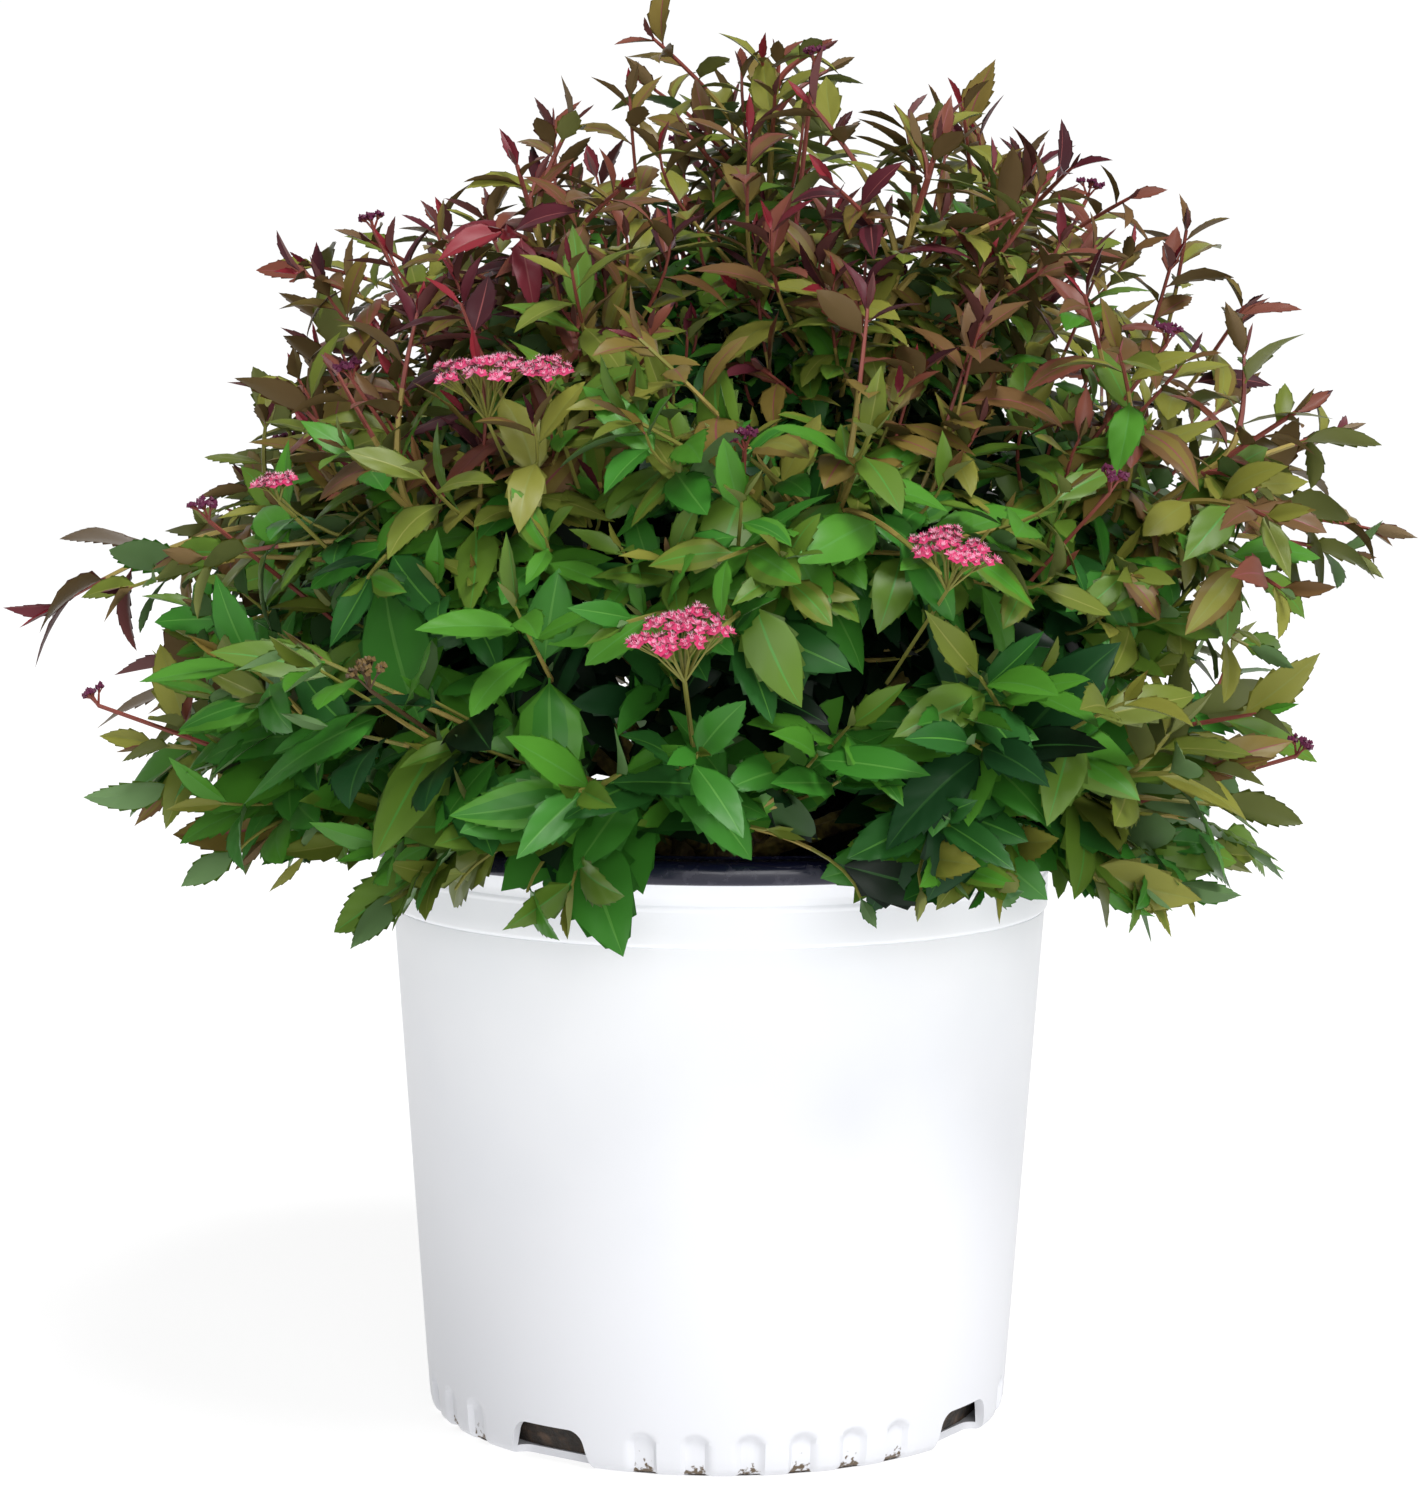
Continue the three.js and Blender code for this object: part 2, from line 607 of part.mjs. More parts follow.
// A leaf on a shoot: it leaves at the leaf angle, hangs a little and faces up and out
function leafOn(space, tier, curve, share, roll, length) {
  const root = curve.getPointAt(share);
  const tangent = curve.getTangentAt(share);
  const side = new THREE.Vector3().crossVectors(tangent, UP).normalize();
  side.applyAxisAngle(tangent, roll);
  const open = share < TIP_ROOT ? 1 : TIP_OPENING;
  const along = tangent.clone().multiplyScalar(Math.cos(LEAF_ANGLE * open));
  along.addScaledVector(side, Math.sin(LEAF_ANGLE * open));
  along.z -= tier.hang * open;
  along.normalize();
  const face = root.clone().sub(FOOT).normalize().addScaledVector(UP, LIGHT_PULL);
  const middle = root.clone().addScaledVector(along, length * LEAF_MIDDLE);
  const blade = leafGeometry(root, along, face, length);
  return leafFits(space, blade, root, length) ? { blade, middle } : null;
}

// Every way that a leaf at one place on a shoot can lie, the roomiest first
function leafChoices(mass, space, tier, curve, share, dice) {
  const start = dice.between(0, TURN);
  const length = tier.leaf * dice.between(...SIZE_SPREAD) * (share < TIP_ROOT ? 1 : TIP_SIZE);
  const choices = [];
  for (const size of LEAF_SIZES) {
    for (let way = 0; way < LEAF_WAYS; way++) {
      const leaf = leafOn(space, tier, curve, share, start + (way * TURN) / LEAF_WAYS, size * length);
      if (!leaf) continue;
      const gaps = mass.middles.map((middle) => middle.distanceTo(leaf.middle));
      choices.push({ ...leaf, room: Math.min(ROOM_ENOUGH, ...gaps) * size * size });
    }
  }
  return choices.sort((one, other) => other.room - one.room);
}

// Leaves turn to where they have most room, and one that would cut its neighbours is left off
function addLeaves(mass, space, tier, curve, shares, dice) {
  for (const share of shares) {
    for (const leaf of leafChoices(mass, space, tier, curve, share, dice)) {
      const body = solid(leaf.blade);
      if (mass.body.intersect(body).volume() > ROOT_OVERLAP) continue;
      const joined = oneBody(mass.body.add(body));
      const gained = joined.volume() - mass.body.volume();
      if (gained < JOINED_SHARE * body.volume() || !closes(joined)) continue;
      mass.body = joined;
      mass.middles.push(leaf.middle);
      break;
    }
  }
}

function twigFits(space, curve) {
  const shares = [0.25, 0.5, 0.75, 1];
  return shares.every((share) => inSpace(space, curve.getPointAt(share), TWIG_FOOT + SPACE_MARGIN));
}

function foliage(tier, space, seed) {
  const dice = new Dice(seed);
  const stemTip = reach(space.azimuth, space.axis) - TUFT_SHARE * tier.leaf;
  const stem = stemCurve(space, stemTip);
  const mass = { body: solid(taperedTube(stem, CANE_TIP, STEM_TIP, TWIG_SIDES, STEM_STEPS)), middles: [] };
  const targets = leaderTargets(space, tier);
  for (let number = 0; number < tier.twigs; number++) targets.push(twigTarget(space, tier, number, dice));
  for (const blossom of BLOSSOMS) {
    const middle = new THREE.Vector3(blossom.side, blossom.back, blossom.height);
    if (!inSpace(space, middle, blossom.width / 2)) continue;
    const stalk = twigCurve(space, stemTip, bearing(middle));
    mass.body = mass.body.add(solid(taperedTube(stalk, TWIG_FOOT, TWIG_TIP, TWIG_SIDES, TWIG_STEPS)));
    mass.body = mass.body.add(solid(blossomHead(blossom)));
  }
  const twigs = [];
  for (const target of targets) {
    const curve = twigCurve(space, stemTip, target);
    if (!twigFits(space, curve)) continue;
    mass.body = mass.body.add(solid(taperedTube(curve, TWIG_FOOT, TWIG_TIP, TWIG_SIDES, TWIG_STEPS)));
    if (target.tip) mass.body = mass.body.add(solid(leaderLeaf(curve, target.tip)));
    twigs.push(curve);
  }
  addLeaves(mass, space, tier, stem, STEM_LEAVES, dice);
  twigs.forEach((curve) => addLeaves(mass, space, tier, curve, TWIG_LEAVES, dice));
  return mass.body;
}

function cane(space) {
  return solid(taperedTube(caneCurve(space), CANE_FOOT, CANE_TIP, CANE_SIDES, CANE_STEPS));
}

// ---- materials and assembly ----

const finish = (color, roughness) => new THREE.MeshStandardMaterial({ color, roughness, metalness: 0 });
const whitePlastic = finish("#eef0f2", 0.45);
const navyPlastic = finish("#14142a", 0.25);
const barkMix = finish("#2a211b", 0.95);
const oldBark = finish("#6e5a3c", 0.85);
const caneBark = finish("#9a8748", 0.7);
const leafFinish = {
  low: finish("#2f7a3a", 0.55),
  middle: finish("#66803a", 0.55),
  top: finish("#7d6038", 0.55),
  crest: finish("#7a4034", 0.55),
};

const shrub = new THREE.Group();
shrub.add(meshOf("pot_wall", potWall(), whitePlastic));
shrub.add(meshOf("pot_rim", potRim(), navyPlastic));
shrub.add(meshOf("potting_mix", pottingMix(), barkMix));
shrub.add(meshOf("root_crown", rootCrown(), oldBark));
TIERS.forEach((tier, level) => {
  for (let index = 0; index < tier.count; index++) {
    const space = spaceOf(tier, index);
    const seed = 1000 * (level + 1) + 37 * (index + 1);
    shrub.add(meshOf(`${tier.name}_cane_${index + 1}`, cane(space), caneBark));
    shrub.add(meshOf(`${tier.name}_foliage_${index + 1}`, foliage(tier, space, seed), leafFinish[tier.name]));
  }
});

export default shrub;
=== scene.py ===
"""Looks for a spirea shrub in its white nursery pot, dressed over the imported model.

The crown grows again by the rule of the part's source, mass by mass, and is carried on to
finer shoots, toothed leaves and flat heads of blossom.  The pot is turned from its profile.
Growth is worked out in millimetres; meshes are in metres.
"""

import logging
import math
from dataclasses import dataclass, field
from enum import Enum
from typing import Sequence

import bpy
import numpy as np
from numpy import ndarray
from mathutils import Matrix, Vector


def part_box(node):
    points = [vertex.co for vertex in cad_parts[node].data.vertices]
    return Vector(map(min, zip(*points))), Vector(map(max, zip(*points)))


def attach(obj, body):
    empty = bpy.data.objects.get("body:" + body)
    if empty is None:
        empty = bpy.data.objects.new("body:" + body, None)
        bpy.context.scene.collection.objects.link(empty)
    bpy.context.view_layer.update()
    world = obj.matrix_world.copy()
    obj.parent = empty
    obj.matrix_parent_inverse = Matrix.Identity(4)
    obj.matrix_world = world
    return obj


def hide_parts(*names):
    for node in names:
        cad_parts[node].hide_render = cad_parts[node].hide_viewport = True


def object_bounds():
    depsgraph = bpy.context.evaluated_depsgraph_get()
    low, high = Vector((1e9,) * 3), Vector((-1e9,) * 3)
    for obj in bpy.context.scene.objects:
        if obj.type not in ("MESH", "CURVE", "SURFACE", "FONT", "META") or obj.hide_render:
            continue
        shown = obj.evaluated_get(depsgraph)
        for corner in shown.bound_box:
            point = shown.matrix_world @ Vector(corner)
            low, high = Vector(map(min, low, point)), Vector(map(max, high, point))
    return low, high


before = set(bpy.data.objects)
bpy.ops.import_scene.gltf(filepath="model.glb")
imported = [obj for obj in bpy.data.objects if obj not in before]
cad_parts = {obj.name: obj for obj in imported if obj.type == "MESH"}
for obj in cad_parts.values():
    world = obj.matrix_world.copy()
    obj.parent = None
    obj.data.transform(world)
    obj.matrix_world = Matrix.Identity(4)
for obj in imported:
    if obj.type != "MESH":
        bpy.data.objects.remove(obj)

log = logging.getLogger("shrub")

CAD_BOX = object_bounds()
MM = 0.001
TURN = math.tau
UP = np.array((0.0, 0.0, 1.0))
BODY = "root"


# -------- numbers and vectors


class Dice:
    """Seeded dice that fall the same way on every run."""

    def __init__(self, seed: int) -> None:
        """Sets the first state.

        Args:
            seed: any whole number above nought.
        """
        self.state = seed
        self.throw()

    def throw(self) -> float:
        """Returns the next number between nought and one."""
        self.state = (self.state * 16807) % 2147483647
        return self.state / 2147483647

    def between(self, low: float, high: float) -> float:
        """Returns a number between two others."""
        return low + (high - low) * self.throw()

    def bell(self, spread: float) -> float:
        """Returns a number near nought, seldom further off than twice the spread."""
        return spread * (self.throw() + self.throw() + self.throw() - 1.5) * 2.0


def unit(vector: ndarray) -> ndarray:
    """Returns the vector at length one."""
    return vector / max(1e-9, float(np.linalg.norm(vector)))


def mix(low: float, high: float, share: float) -> float:
    """Returns the number that lies a share of the way between two others."""
    return low + (high - low) * share


def ease(value: float, low: float, high: float) -> float:
    """Returns 0 below low, 1 above high and a smooth rise between them."""
    share = min(1.0, max(0.0, (value - low) / (high - low)))
    return share * share * (3.0 - 2.0 * share)


def bezier(points: Sequence[ndarray], steps: int) -> ndarray:
    """Walks along a Bezier curve.

    Args:
        points: its control points.
        steps: how many stretches it is cut into.

    Returns:
        The points, one more than the steps.
    """
    level = [np.outer(np.ones(steps + 1), p) for p in points]
    share = np.linspace(0.0, 1.0, steps + 1)[:, None]
    while len(level) > 1:
        level = [a + (b - a) * share for a, b in zip(level, level[1:])]
    return level[0]


def relief(spots: ndarray, size: float, seed: float) -> ndarray:
    """Works out a smooth uneven field.

    Args:
        spots: places in millimetres.
        size: the width of its bumps in millimetres.
        seed: moves the field on.

    Returns:
        Its value at each spot, from about -1 to 1.
    """
    p = spots * (TURN / size)
    waves = np.sin(p[..., 0] + 1.7 * np.sin(0.61 * p[..., 1] + seed))
    waves = waves + np.sin(0.83 * p[..., 1] + 1.3 * np.sin(0.73 * p[..., 2] + 2.1 * seed))
    waves = waves + np.sin(0.91 * p[..., 2] + 1.5 * np.sin(0.57 * p[..., 0] + 3.7 * seed))
    return waves / 3.0


# -------- finishes


Inputs = dict[str | int, object]


def linear(colour: str) -> tuple[float, ...]:
    """Returns an sRGB hex colour as linear red, green, blue and alpha."""
    parts = [int(colour[i : i + 2], 16) / 255.0 for i in (1, 3, 5)]
    return (*(p / 12.92 if p <= 0.04045 else ((p + 0.055) / 1.055) ** 2.4 for p in parts), 1.0)


def feed(node: bpy.types.Node, inputs: Inputs) -> None:
    """Sets or links a node's inputs.

    Args:
        node: the node.
        inputs: socket names or numbers, each with a value or the socket that feeds it.
    """
    for name, value in inputs.items():
        socket = node.inputs[name]
        if isinstance(value, bpy.types.NodeSocket):
            node.id_data.links.new(value, socket)
        else:
            socket.default_value = value


def add_node(
    tree: bpy.types.NodeTree,
    kind: str,
    inputs: Inputs | None = None,
    out: str | int = 0,
    stops: Sequence[tuple[float, str]] = (),
    **settings: object,
) -> bpy.types.NodeSocket:
    """Adds a node with its settings and links.

    Args:
        tree: the material's or world's node tree.
        kind: the node's type name after its "ShaderNode".
        inputs: what goes into it, by socket name or number.
        out: the socket that is used of it.
        stops: a colour ramp's places from 0 to 1, each with a hex colour.
        settings: the node's own properties.

    Returns:
        The socket that comes out.
    """
    made = tree.nodes.new("ShaderNode" + kind)
    for name, value in settings.items():
        setattr(made, name, value)
    feed(made, inputs or {})
    if stops:
        elements = made.color_ramp.elements
        while len(elements) < len(stops):
            elements.new(0.5)
        for element, (place, colour) in zip(elements, stops):
            element.position = place
            element.color = linear(colour)
    return made.outputs[out]


@dataclass(frozen=True)
class Finish:
    """What a surface is made of; each kind says what goes into its shader."""

    name: str

    def material(self) -> bpy.types.Material:
        """Makes the material, unless one of its name is there already.

        Returns:
            The material.
        """
        found = bpy.data.materials.get(self.name)
        if found:
            return found
        made = bpy.data.materials.new(self.name)
        made.use_nodes = True
        shader = made.node_tree.nodes["Principled BSDF"]
        feed(shader, self.shader_inputs(made.node_tree))
        made.diffuse_color = shader.inputs["Base Color"].default_value
        return made

    def shader_inputs(self, tree: bpy.types.NodeTree) -> Inputs:
        """Adds the finish's own nodes and returns what goes into the shader."""
        raise NotImplementedError


@dataclass(frozen=True)
class LivingFinish(Finish):
    """A leaf, petal or young bark: one waxy colour, whose veins and folds are in the mesh."""

    colour: str
    roughness: float
    sheen: float
    wax: float = 1.42  # the refraction of a leaf's wax
    gloss: float = 0.3

    def shader_inputs(self, tree: bpy.types.NodeTree) -> Inputs:
        """Tells the plain values that suit a piece of many small shapes.

        Args:
            tree: the material's nodes, which need no more.

        Returns:
            What goes into the shader.
        """
        return {
            "Base Color": linear(self.colour),
            "Roughness": self.roughness,
            "IOR": self.wax,
            "Specular IOR Level": self.gloss,
            "Sheen Weight": self.sheen,
        }


@dataclass(frozen=True)
class BlownPolyethylene(Finish):
    """White blow-moulded polyethylene: satin, a little uneven, with soil in its hollows."""

    colour: str = "#f8f9fd"
    shade: str = "#f2f4f9"
    # Painted shade: the grey that the white turns towards the foot
    foot_shade_colour: str = "#d4d5da"
    soil: str = "#5b4a35"
    cloud: float = 90.0  # mm, the width of its cloudy patches
    foot_shade_top: float = 190.0  # mm, how far up from the foot the white is greyed as painted shade
    speck: float = 2.2  # mm, the width of a speck of soil
    grain: float = 1.6  # mm, the width of its orange peel
    depth: float = 0.2  # mm, and the depth
    refraction: float = 1.51

    def shader_inputs(self, tree: bpy.types.NodeTree) -> Inputs:
        """Adds cloudy white, greyed towards the foot as painted shade, soil from the soil attribute
        and orange peel.

        Args:
            tree: the material's nodes.

        Returns:
            What goes into the shader.
        """
        place = add_node(tree, "TexCoord", out="Object")
        scale = 1 / (self.cloud * MM)
        cloud = add_node(tree, "TexNoise", {"Vector": place, "Scale": scale, "Detail": 3.0})
        stops = [(0.35, self.shade), (0.62, self.colour)]
        white = add_node(tree, "ValToRGB", {"Fac": cloud}, stops=stops)
        height = add_node(tree, "SeparateXYZ", {"Vector": place}, out="Z")
        # Painted shade: the white greys from this height down to the foot
        low = {"Value": height, "From Min": self.foot_shade_top * MM, "From Max": 0.0}
        foot_shade = add_node(tree, "MapRange", low)
        scale = 1 / (self.speck * MM)
        specks = add_node(tree, "TexNoise", {"Vector": place, "Scale": scale, "Detail": 5.0})
        soil = add_node(tree, "Attribute", out="Fac", attribute_name="soil")
        grit = add_node(tree, "Math", {0: specks, 1: soil}, operation="MULTIPLY")
        cover = add_node(tree, "MapRange", {"Value": grit, "From Min": 0.34, "From Max": 0.4})
        for share, colour in ((foot_shade, self.foot_shade_colour), (cover, self.soil)):
            parts = {0: share, 6: white, 7: linear(colour)}
            white = add_node(tree, "Mix", parts, out=2, data_type="RGBA")
        rough = add_node(tree, "MapRange", {"Value": cloud, "To Min": 0.34, "To Max": 0.5})
        scale = 1 / (self.grain * MM)
        peel = add_node(tree, "TexNoise", {"Vector": place, "Scale": scale, "Detail": 2.0})
        bump = {"Height": peel, "Strength": 0.08, "Distance": self.depth * MM}
        normal = add_node(tree, "Bump", bump)
        return {"Base Color": white, "Roughness": rough, "Normal": normal, "IOR": self.refraction}


@dataclass(frozen=True)
class GlossPolyethylene(Finish):
    """Navy polyethylene, glossy from the mould, with fine dust and rubbed spots."""

    colour: str = "#11122a"
    dust: str = "#3d3c4a"
    patch: float = 5.0  # mm, the width of a patch of dust
    wave: float = 14.0  # mm, the width of its waviness
    depth: float = 0.5  # mm, and the depth
    refraction: float = 1.51

    def shader_inputs(self, tree: bpy.types.NodeTree) -> Inputs:
        """Adds dust in patches, which dulls the gloss, and a faint waviness.

        Args:
            tree: the material's nodes.

        Returns:
            What goes into the shader.
        """
        place = add_node(tree, "TexCoord", out="Object")
        scale = 1 / (self.patch * MM)
        dust = add_node(tree, "TexNoise", {"Vector": place, "Scale": scale, "Detail": 6.0})
        stops = [(0.56, self.colour), (0.78, self.dust)]
        colour = add_node(tree, "ValToRGB", {"Fac": dust}, stops=stops)
        dull = {"Value": dust, "From Min": 0.45, "To Min": 0.2, "To Max": 0.5}
        rough = add_node(tree, "MapRange", dull)
        scale = 1 / (self.wave * MM)
        wave = add_node(tree, "TexNoise", {"Vector": place, "Scale": scale, "Detail": 1.0})
        bump = {"Height": wave, "Strength": 0.25, "Distance": self.depth * MM}
        normal = add_node(tree, "Bump", bump)
        return {"Base Color": colour, "Roughness": rough, "Normal": normal, "IOR": self.refraction}


@dataclass(frozen=True)
class Bark(Finish):
    """Bark or bark mix: fibrous, dull, in browns that change along its grain."""

    colours: tuple[str, ...]
    grain: float  # mm, the width of its fibres
    patch: float  # mm, the width of its patches
    depth: float  # mm, the depth of its cracks

    def shader_inputs(self, tree: bpy.types.NodeTree) -> Inputs:
        """Adds patches of colour, fine fibres and cracks.

        Args:
            tree: the material's nodes.

        Returns:
            What goes into the shader.
        """
        place = add_node(tree, "TexCoord", out="Object")
        scale = 1 / (self.patch * MM)
        patch = add_node(tree, "TexNoise", {"Vector": place, "Scale": scale, "Detail": 4.0})
        last = len(self.colours) - 1
        stops = [(0.36 + 0.3 * i / last, colour) for i, colour in enumerate(self.colours)]
        colour = add_node(tree, "ValToRGB", {"Fac": patch}, stops=stops)
        scale = 1 / (self.grain * MM)
        fibre = add_node(tree, "TexNoise", {"Vector": place, "Scale": scale, "Detail": 6.0})
        bump = {"Height": fibre, "Strength": 0.7, "Distance": self.depth * MM}
        rough = add_node(tree, "MapRange", {"Value": fibre, "To Min": 0.6, "To Max": 0.95})
        return {"Base Color": colour, "Normal": add_node(tree, "Bump", bump), "Roughness": rough}


@dataclass(frozen=True)
class LightTable(Finish):
    """White acrylic of a lit table, on which things cast hardly any shadow."""

    colour: str = "#8a8a8a"
    shade: str = "#858585"
    tooth: float = 3.0  # mm, the width of its faint grain
    glow: float = 0.85

    def shader_inputs(self, tree: bpy.types.NodeTree) -> Inputs:
        """Adds a nearly even grey that the glow turns white, and a faint tooth.

        Args:
            tree: the material's nodes.

        Returns:
            What goes into the shader.
        """
        place = add_node(tree, "TexCoord", out="Object")
        scale = 1 / (self.tooth * MM)
        tooth = add_node(tree, "TexNoise", {"Vector": place, "Scale": scale, "Detail": 3.0})
        stops = [(0.3, self.shade), (0.7, self.colour)]
        return {
            "Base Color": add_node(tree, "ValToRGB", {"Fac": tooth}, stops=stops),
            "Roughness": 0.9,
            "Specular IOR Level": 0.0,
            "Emission Color": linear("#ffffff"),
            "Emission Strength": self.glow,
        }


class Paint(Enum):
    """Every plain colour that living pieces are dealt."""

    SCARLET = "#80262f"
    CRIMSON = "#68212b"
    BURGUNDY = "#54212a"
    MAROON = "#3f1c22"
    COPPER = "#713f31"
    BRONZE = "#654a2a"
    AMBER = "#70602c"
    STRAW_GREEN = "#7b7c33"
    OLIVE = "#647029"
    MOSS = "#557325"
    SPRING = "#478026"
    MEADOW = "#357224"
    FERN = "#285c24"
    # The last two greens are near black: painted shade, dealt to leaves deep inside the crown
    SPRUCE = "#173c1c"
    DEEP = "#0c1e0f"
    UNDER_GREEN = "#648253"
    UNDER_OLIVE = "#757b46"
    UNDER_BRONZE = "#6c583a"
    UNDER_RED = "#643c3b"
    UNDER_DARK = "#34502c"
    RIB_DARK = "#2b5425"
    RIB_GREEN = "#4c8434"
    RIB_OLIVE = "#7b803c"
    RIB_RED = "#7d4444"
    SHOOT_STRAW = "#998748"
    SHOOT_OLIVE = "#7c7a3a"
    SHOOT_RED = "#7f4239"
    PETAL = "#c22a61"
    PETAL_LIGHT = "#e4799e"
    PETAL_DEEP = "#8a163f"
    STAMEN = "#ecb4c9"
    BUD = "#5b2440"
    BUD_DRY = "#6b5634"
    HUSK = "#4b3a26"

    def finish(self) -> LivingFinish:
        """Returns the finish of this colour: petals are duller, with a soft sheen."""
        petal = self.name.startswith(("PETAL", "STAMEN"))
        return LivingFinish(self.name.lower(), self.value, *((0.5, 0.25) if petal else (0.4, 0.0)))


PAINTS = list(Paint)
# From a shoot's youngest leaf to the darkest paints, which are painted shade for the deep inside of
# the crown
RIPENING_TO_SHADE = PAINTS[PAINTS.index(Paint.SCARLET) : PAINTS.index(Paint.DEEP) + 1]


# How ripe a leaf is past which its midrib and its underside take a pair of paints; the darkest pair
# goes with the painted-shade paints of the crown's inside
UNDERSIDES = (
    (0.88, Paint.RIB_DARK, Paint.UNDER_DARK),
    (0.62, Paint.RIB_GREEN, Paint.UNDER_GREEN),
    (0.45, Paint.RIB_OLIVE, Paint.UNDER_OLIVE),
    (0.25, Paint.RIB_RED, Paint.UNDER_BRONZE),
    (-1.0, Paint.RIB_RED, Paint.UNDER_RED),
)


def number_of(paint: Paint) -> int:
    """Returns a paint's place in the list of all paints."""
    return PAINTS.index(paint)


# -------- meshes from arrays


@dataclass
class Batch:
    """Collects small shapes into one mesh."""

    vertices: list[ndarray] = field(default_factory=list)
    corners: list[ndarray] = field(default_factory=list)
    sizes: list[ndarray] = field(default_factory=list)
    paints: list[ndarray] = field(default_factory=list)
    count: int = 0

    def add(self, vertices: ndarray, faces: "Faces", paints: ndarray) -> None:
        """Adds copies of one shape.

        Args:
            vertices: copies by vertices by 3, in millimetres.
            faces: the shape's faces.
            paints: copies by faces, the number of each face's paint.
        """
        copies, each = vertices.shape[:2]
        steps = np.arange(copies)[:, None] * each + self.count
        self.vertices.append(vertices.reshape(-1, 3))
        self.corners.append((faces.corners[None, :] + steps).ravel())
        self.sizes.append(np.tile(faces.sizes, copies))
        self.paints.append(paints.ravel())
        self.count += copies * each

    def add_tube(
        self, points: ndarray, radii: ndarray, sides: int, paints: int | ndarray
    ) -> None:
        """Adds a tube round a line, with a flat foot and a pointed tip.

        Args:
            points: the line, in millimetres.
            radii: the tube's radius at each point, or at each point and side.
            sides: how many sides it has.
            paints: the number of its paint, or of each face's.
        """
        rings = len(points)
        sides_of = np.arange(sides)
        after = (sides_of + 1) % sides
        low = np.arange(rings - 1)[:, None] * sides
        walls = np.stack((low + sides_of, low + after, low + sides + after, low + sides + sides_of), 2)
        top = (rings - 1) * sides
        faces = [list(range(sides))[::-1], *walls.reshape(-1, 4).tolist()]
        faces += [[top + side, top + (side + 1) % sides, rings * sides] for side in range(sides)]
        shape = Faces.of(faces)
        vertices = tube_vertices(points, radii, sides)
        self.add(vertices[None], shape, np.full((1, len(faces)), paints))

    def piece(self, name: str) -> bpy.types.Object:
        """Makes the batch one object at the origin.

        Args:
            name: the piece's name.

        Returns:
            The piece.
        """
        vertices = np.concatenate(self.vertices) * MM
        corners = np.concatenate(self.corners)
        sizes = np.concatenate(self.sizes)
        paints = np.concatenate(self.paints)
        mesh = bpy.data.meshes.new(name)
        mesh.vertices.add(len(vertices))
        mesh.vertices.foreach_set("co", vertices.astype(np.float32).ravel())
        mesh.loops.add(len(corners))
        mesh.loops.foreach_set("vertex_index", corners.astype(np.int32))
        mesh.polygons.add(len(sizes))
        starts = np.concatenate(([0], np.cumsum(sizes)[:-1]))
        mesh.polygons.foreach_set("loop_start", starts.astype(np.int32))
        used = np.unique(paints)
        for paint in used:
            mesh.materials.append(PAINTS[int(paint)].finish().material())
        slots = np.searchsorted(used, paints)
        mesh.polygons.foreach_set("material_index", slots.astype(np.int32))
        mesh.update(calc_edges=True)
        piece = bpy.data.objects.new(name, mesh)
        bpy.context.scene.collection.objects.link(piece)
        return piece


@dataclass(frozen=True)
class Faces:
    """The faces of a shape, as one run of corners and the number of corners of each."""

    corners: ndarray
    sizes: ndarray

    @staticmethod
    def of(faces: Sequence[Sequence[int]]) -> "Faces":
        """Returns faces given as lists of corners."""
        corners = np.array([c for face in faces for c in face], np.int64)
        return Faces(corners, np.array([len(face) for face in faces], np.int64))


def select_only(piece: bpy.types.Object | None = None) -> None:
    """Selects one object and makes it active, or nothing.

    Args:
        piece: the object.
    """
    for other in list(bpy.context.selected_objects):
        other.select_set(False)
    bpy.context.view_layer.objects.active = piece
    if piece:
        piece.select_set(True)


def dress(
    piece: bpy.types.Object, slot: str, *nodes: str, sharp: float, finish: Finish | None = None
) -> None:
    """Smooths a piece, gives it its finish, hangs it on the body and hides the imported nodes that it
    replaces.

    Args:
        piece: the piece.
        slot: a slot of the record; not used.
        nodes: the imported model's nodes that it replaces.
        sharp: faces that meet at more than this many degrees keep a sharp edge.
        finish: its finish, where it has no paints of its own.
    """
    select_only(piece)
    bpy.ops.object.shade_smooth_by_angle(angle=math.radians(sharp))
    if finish:
        piece.data.materials.clear()
        piece.data.materials.append(finish.material())
    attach(piece, BODY)
    if nodes:
        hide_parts(*nodes)
    log.info("%s: %d faces", piece.name, len(piece.data.polygons))


def tube_vertices(points: ndarray, radii: ndarray, sides: int) -> ndarray:
    """Lays the vertices of a tube round a line.

    Args:
        points: the line, in millimetres.
        radii: the tube's radius at each point, or at each point and side.
        sides: how many sides it has.

    Returns:
        The vertices, ring by ring, and the point of its tip last.
    """
    tangents = np.gradient(points, axis=0)
    tangents /= np.linalg.norm(tangents, axis=1)[:, None]
    chord = unit(points[-1] - points[0])
    steady = np.array((1.0, 0.0, 0.0)) if abs(chord[2]) > 0.85 else UP
    across = np.cross(tangents, steady)
    across /= np.linalg.norm(across, axis=1)[:, None]
    lift = np.cross(tangents, across)
    turns = np.arange(sides) * TURN / sides
    ring = across[:, None, :] * np.cos(turns)[None, :, None]
    ring = ring + lift[:, None, :] * np.sin(turns)[None, :, None]
    wide = radii if radii.ndim == 2 else radii[:, None]
    body = points[:, None, :] + ring * wide[:, :, None]
    tip = points[-1] + tangents[-1] * float(np.mean(wide[-1])) * 1.5
    return np.concatenate((body.reshape(-1, 3), tip[None, :]))


# -------- leaves


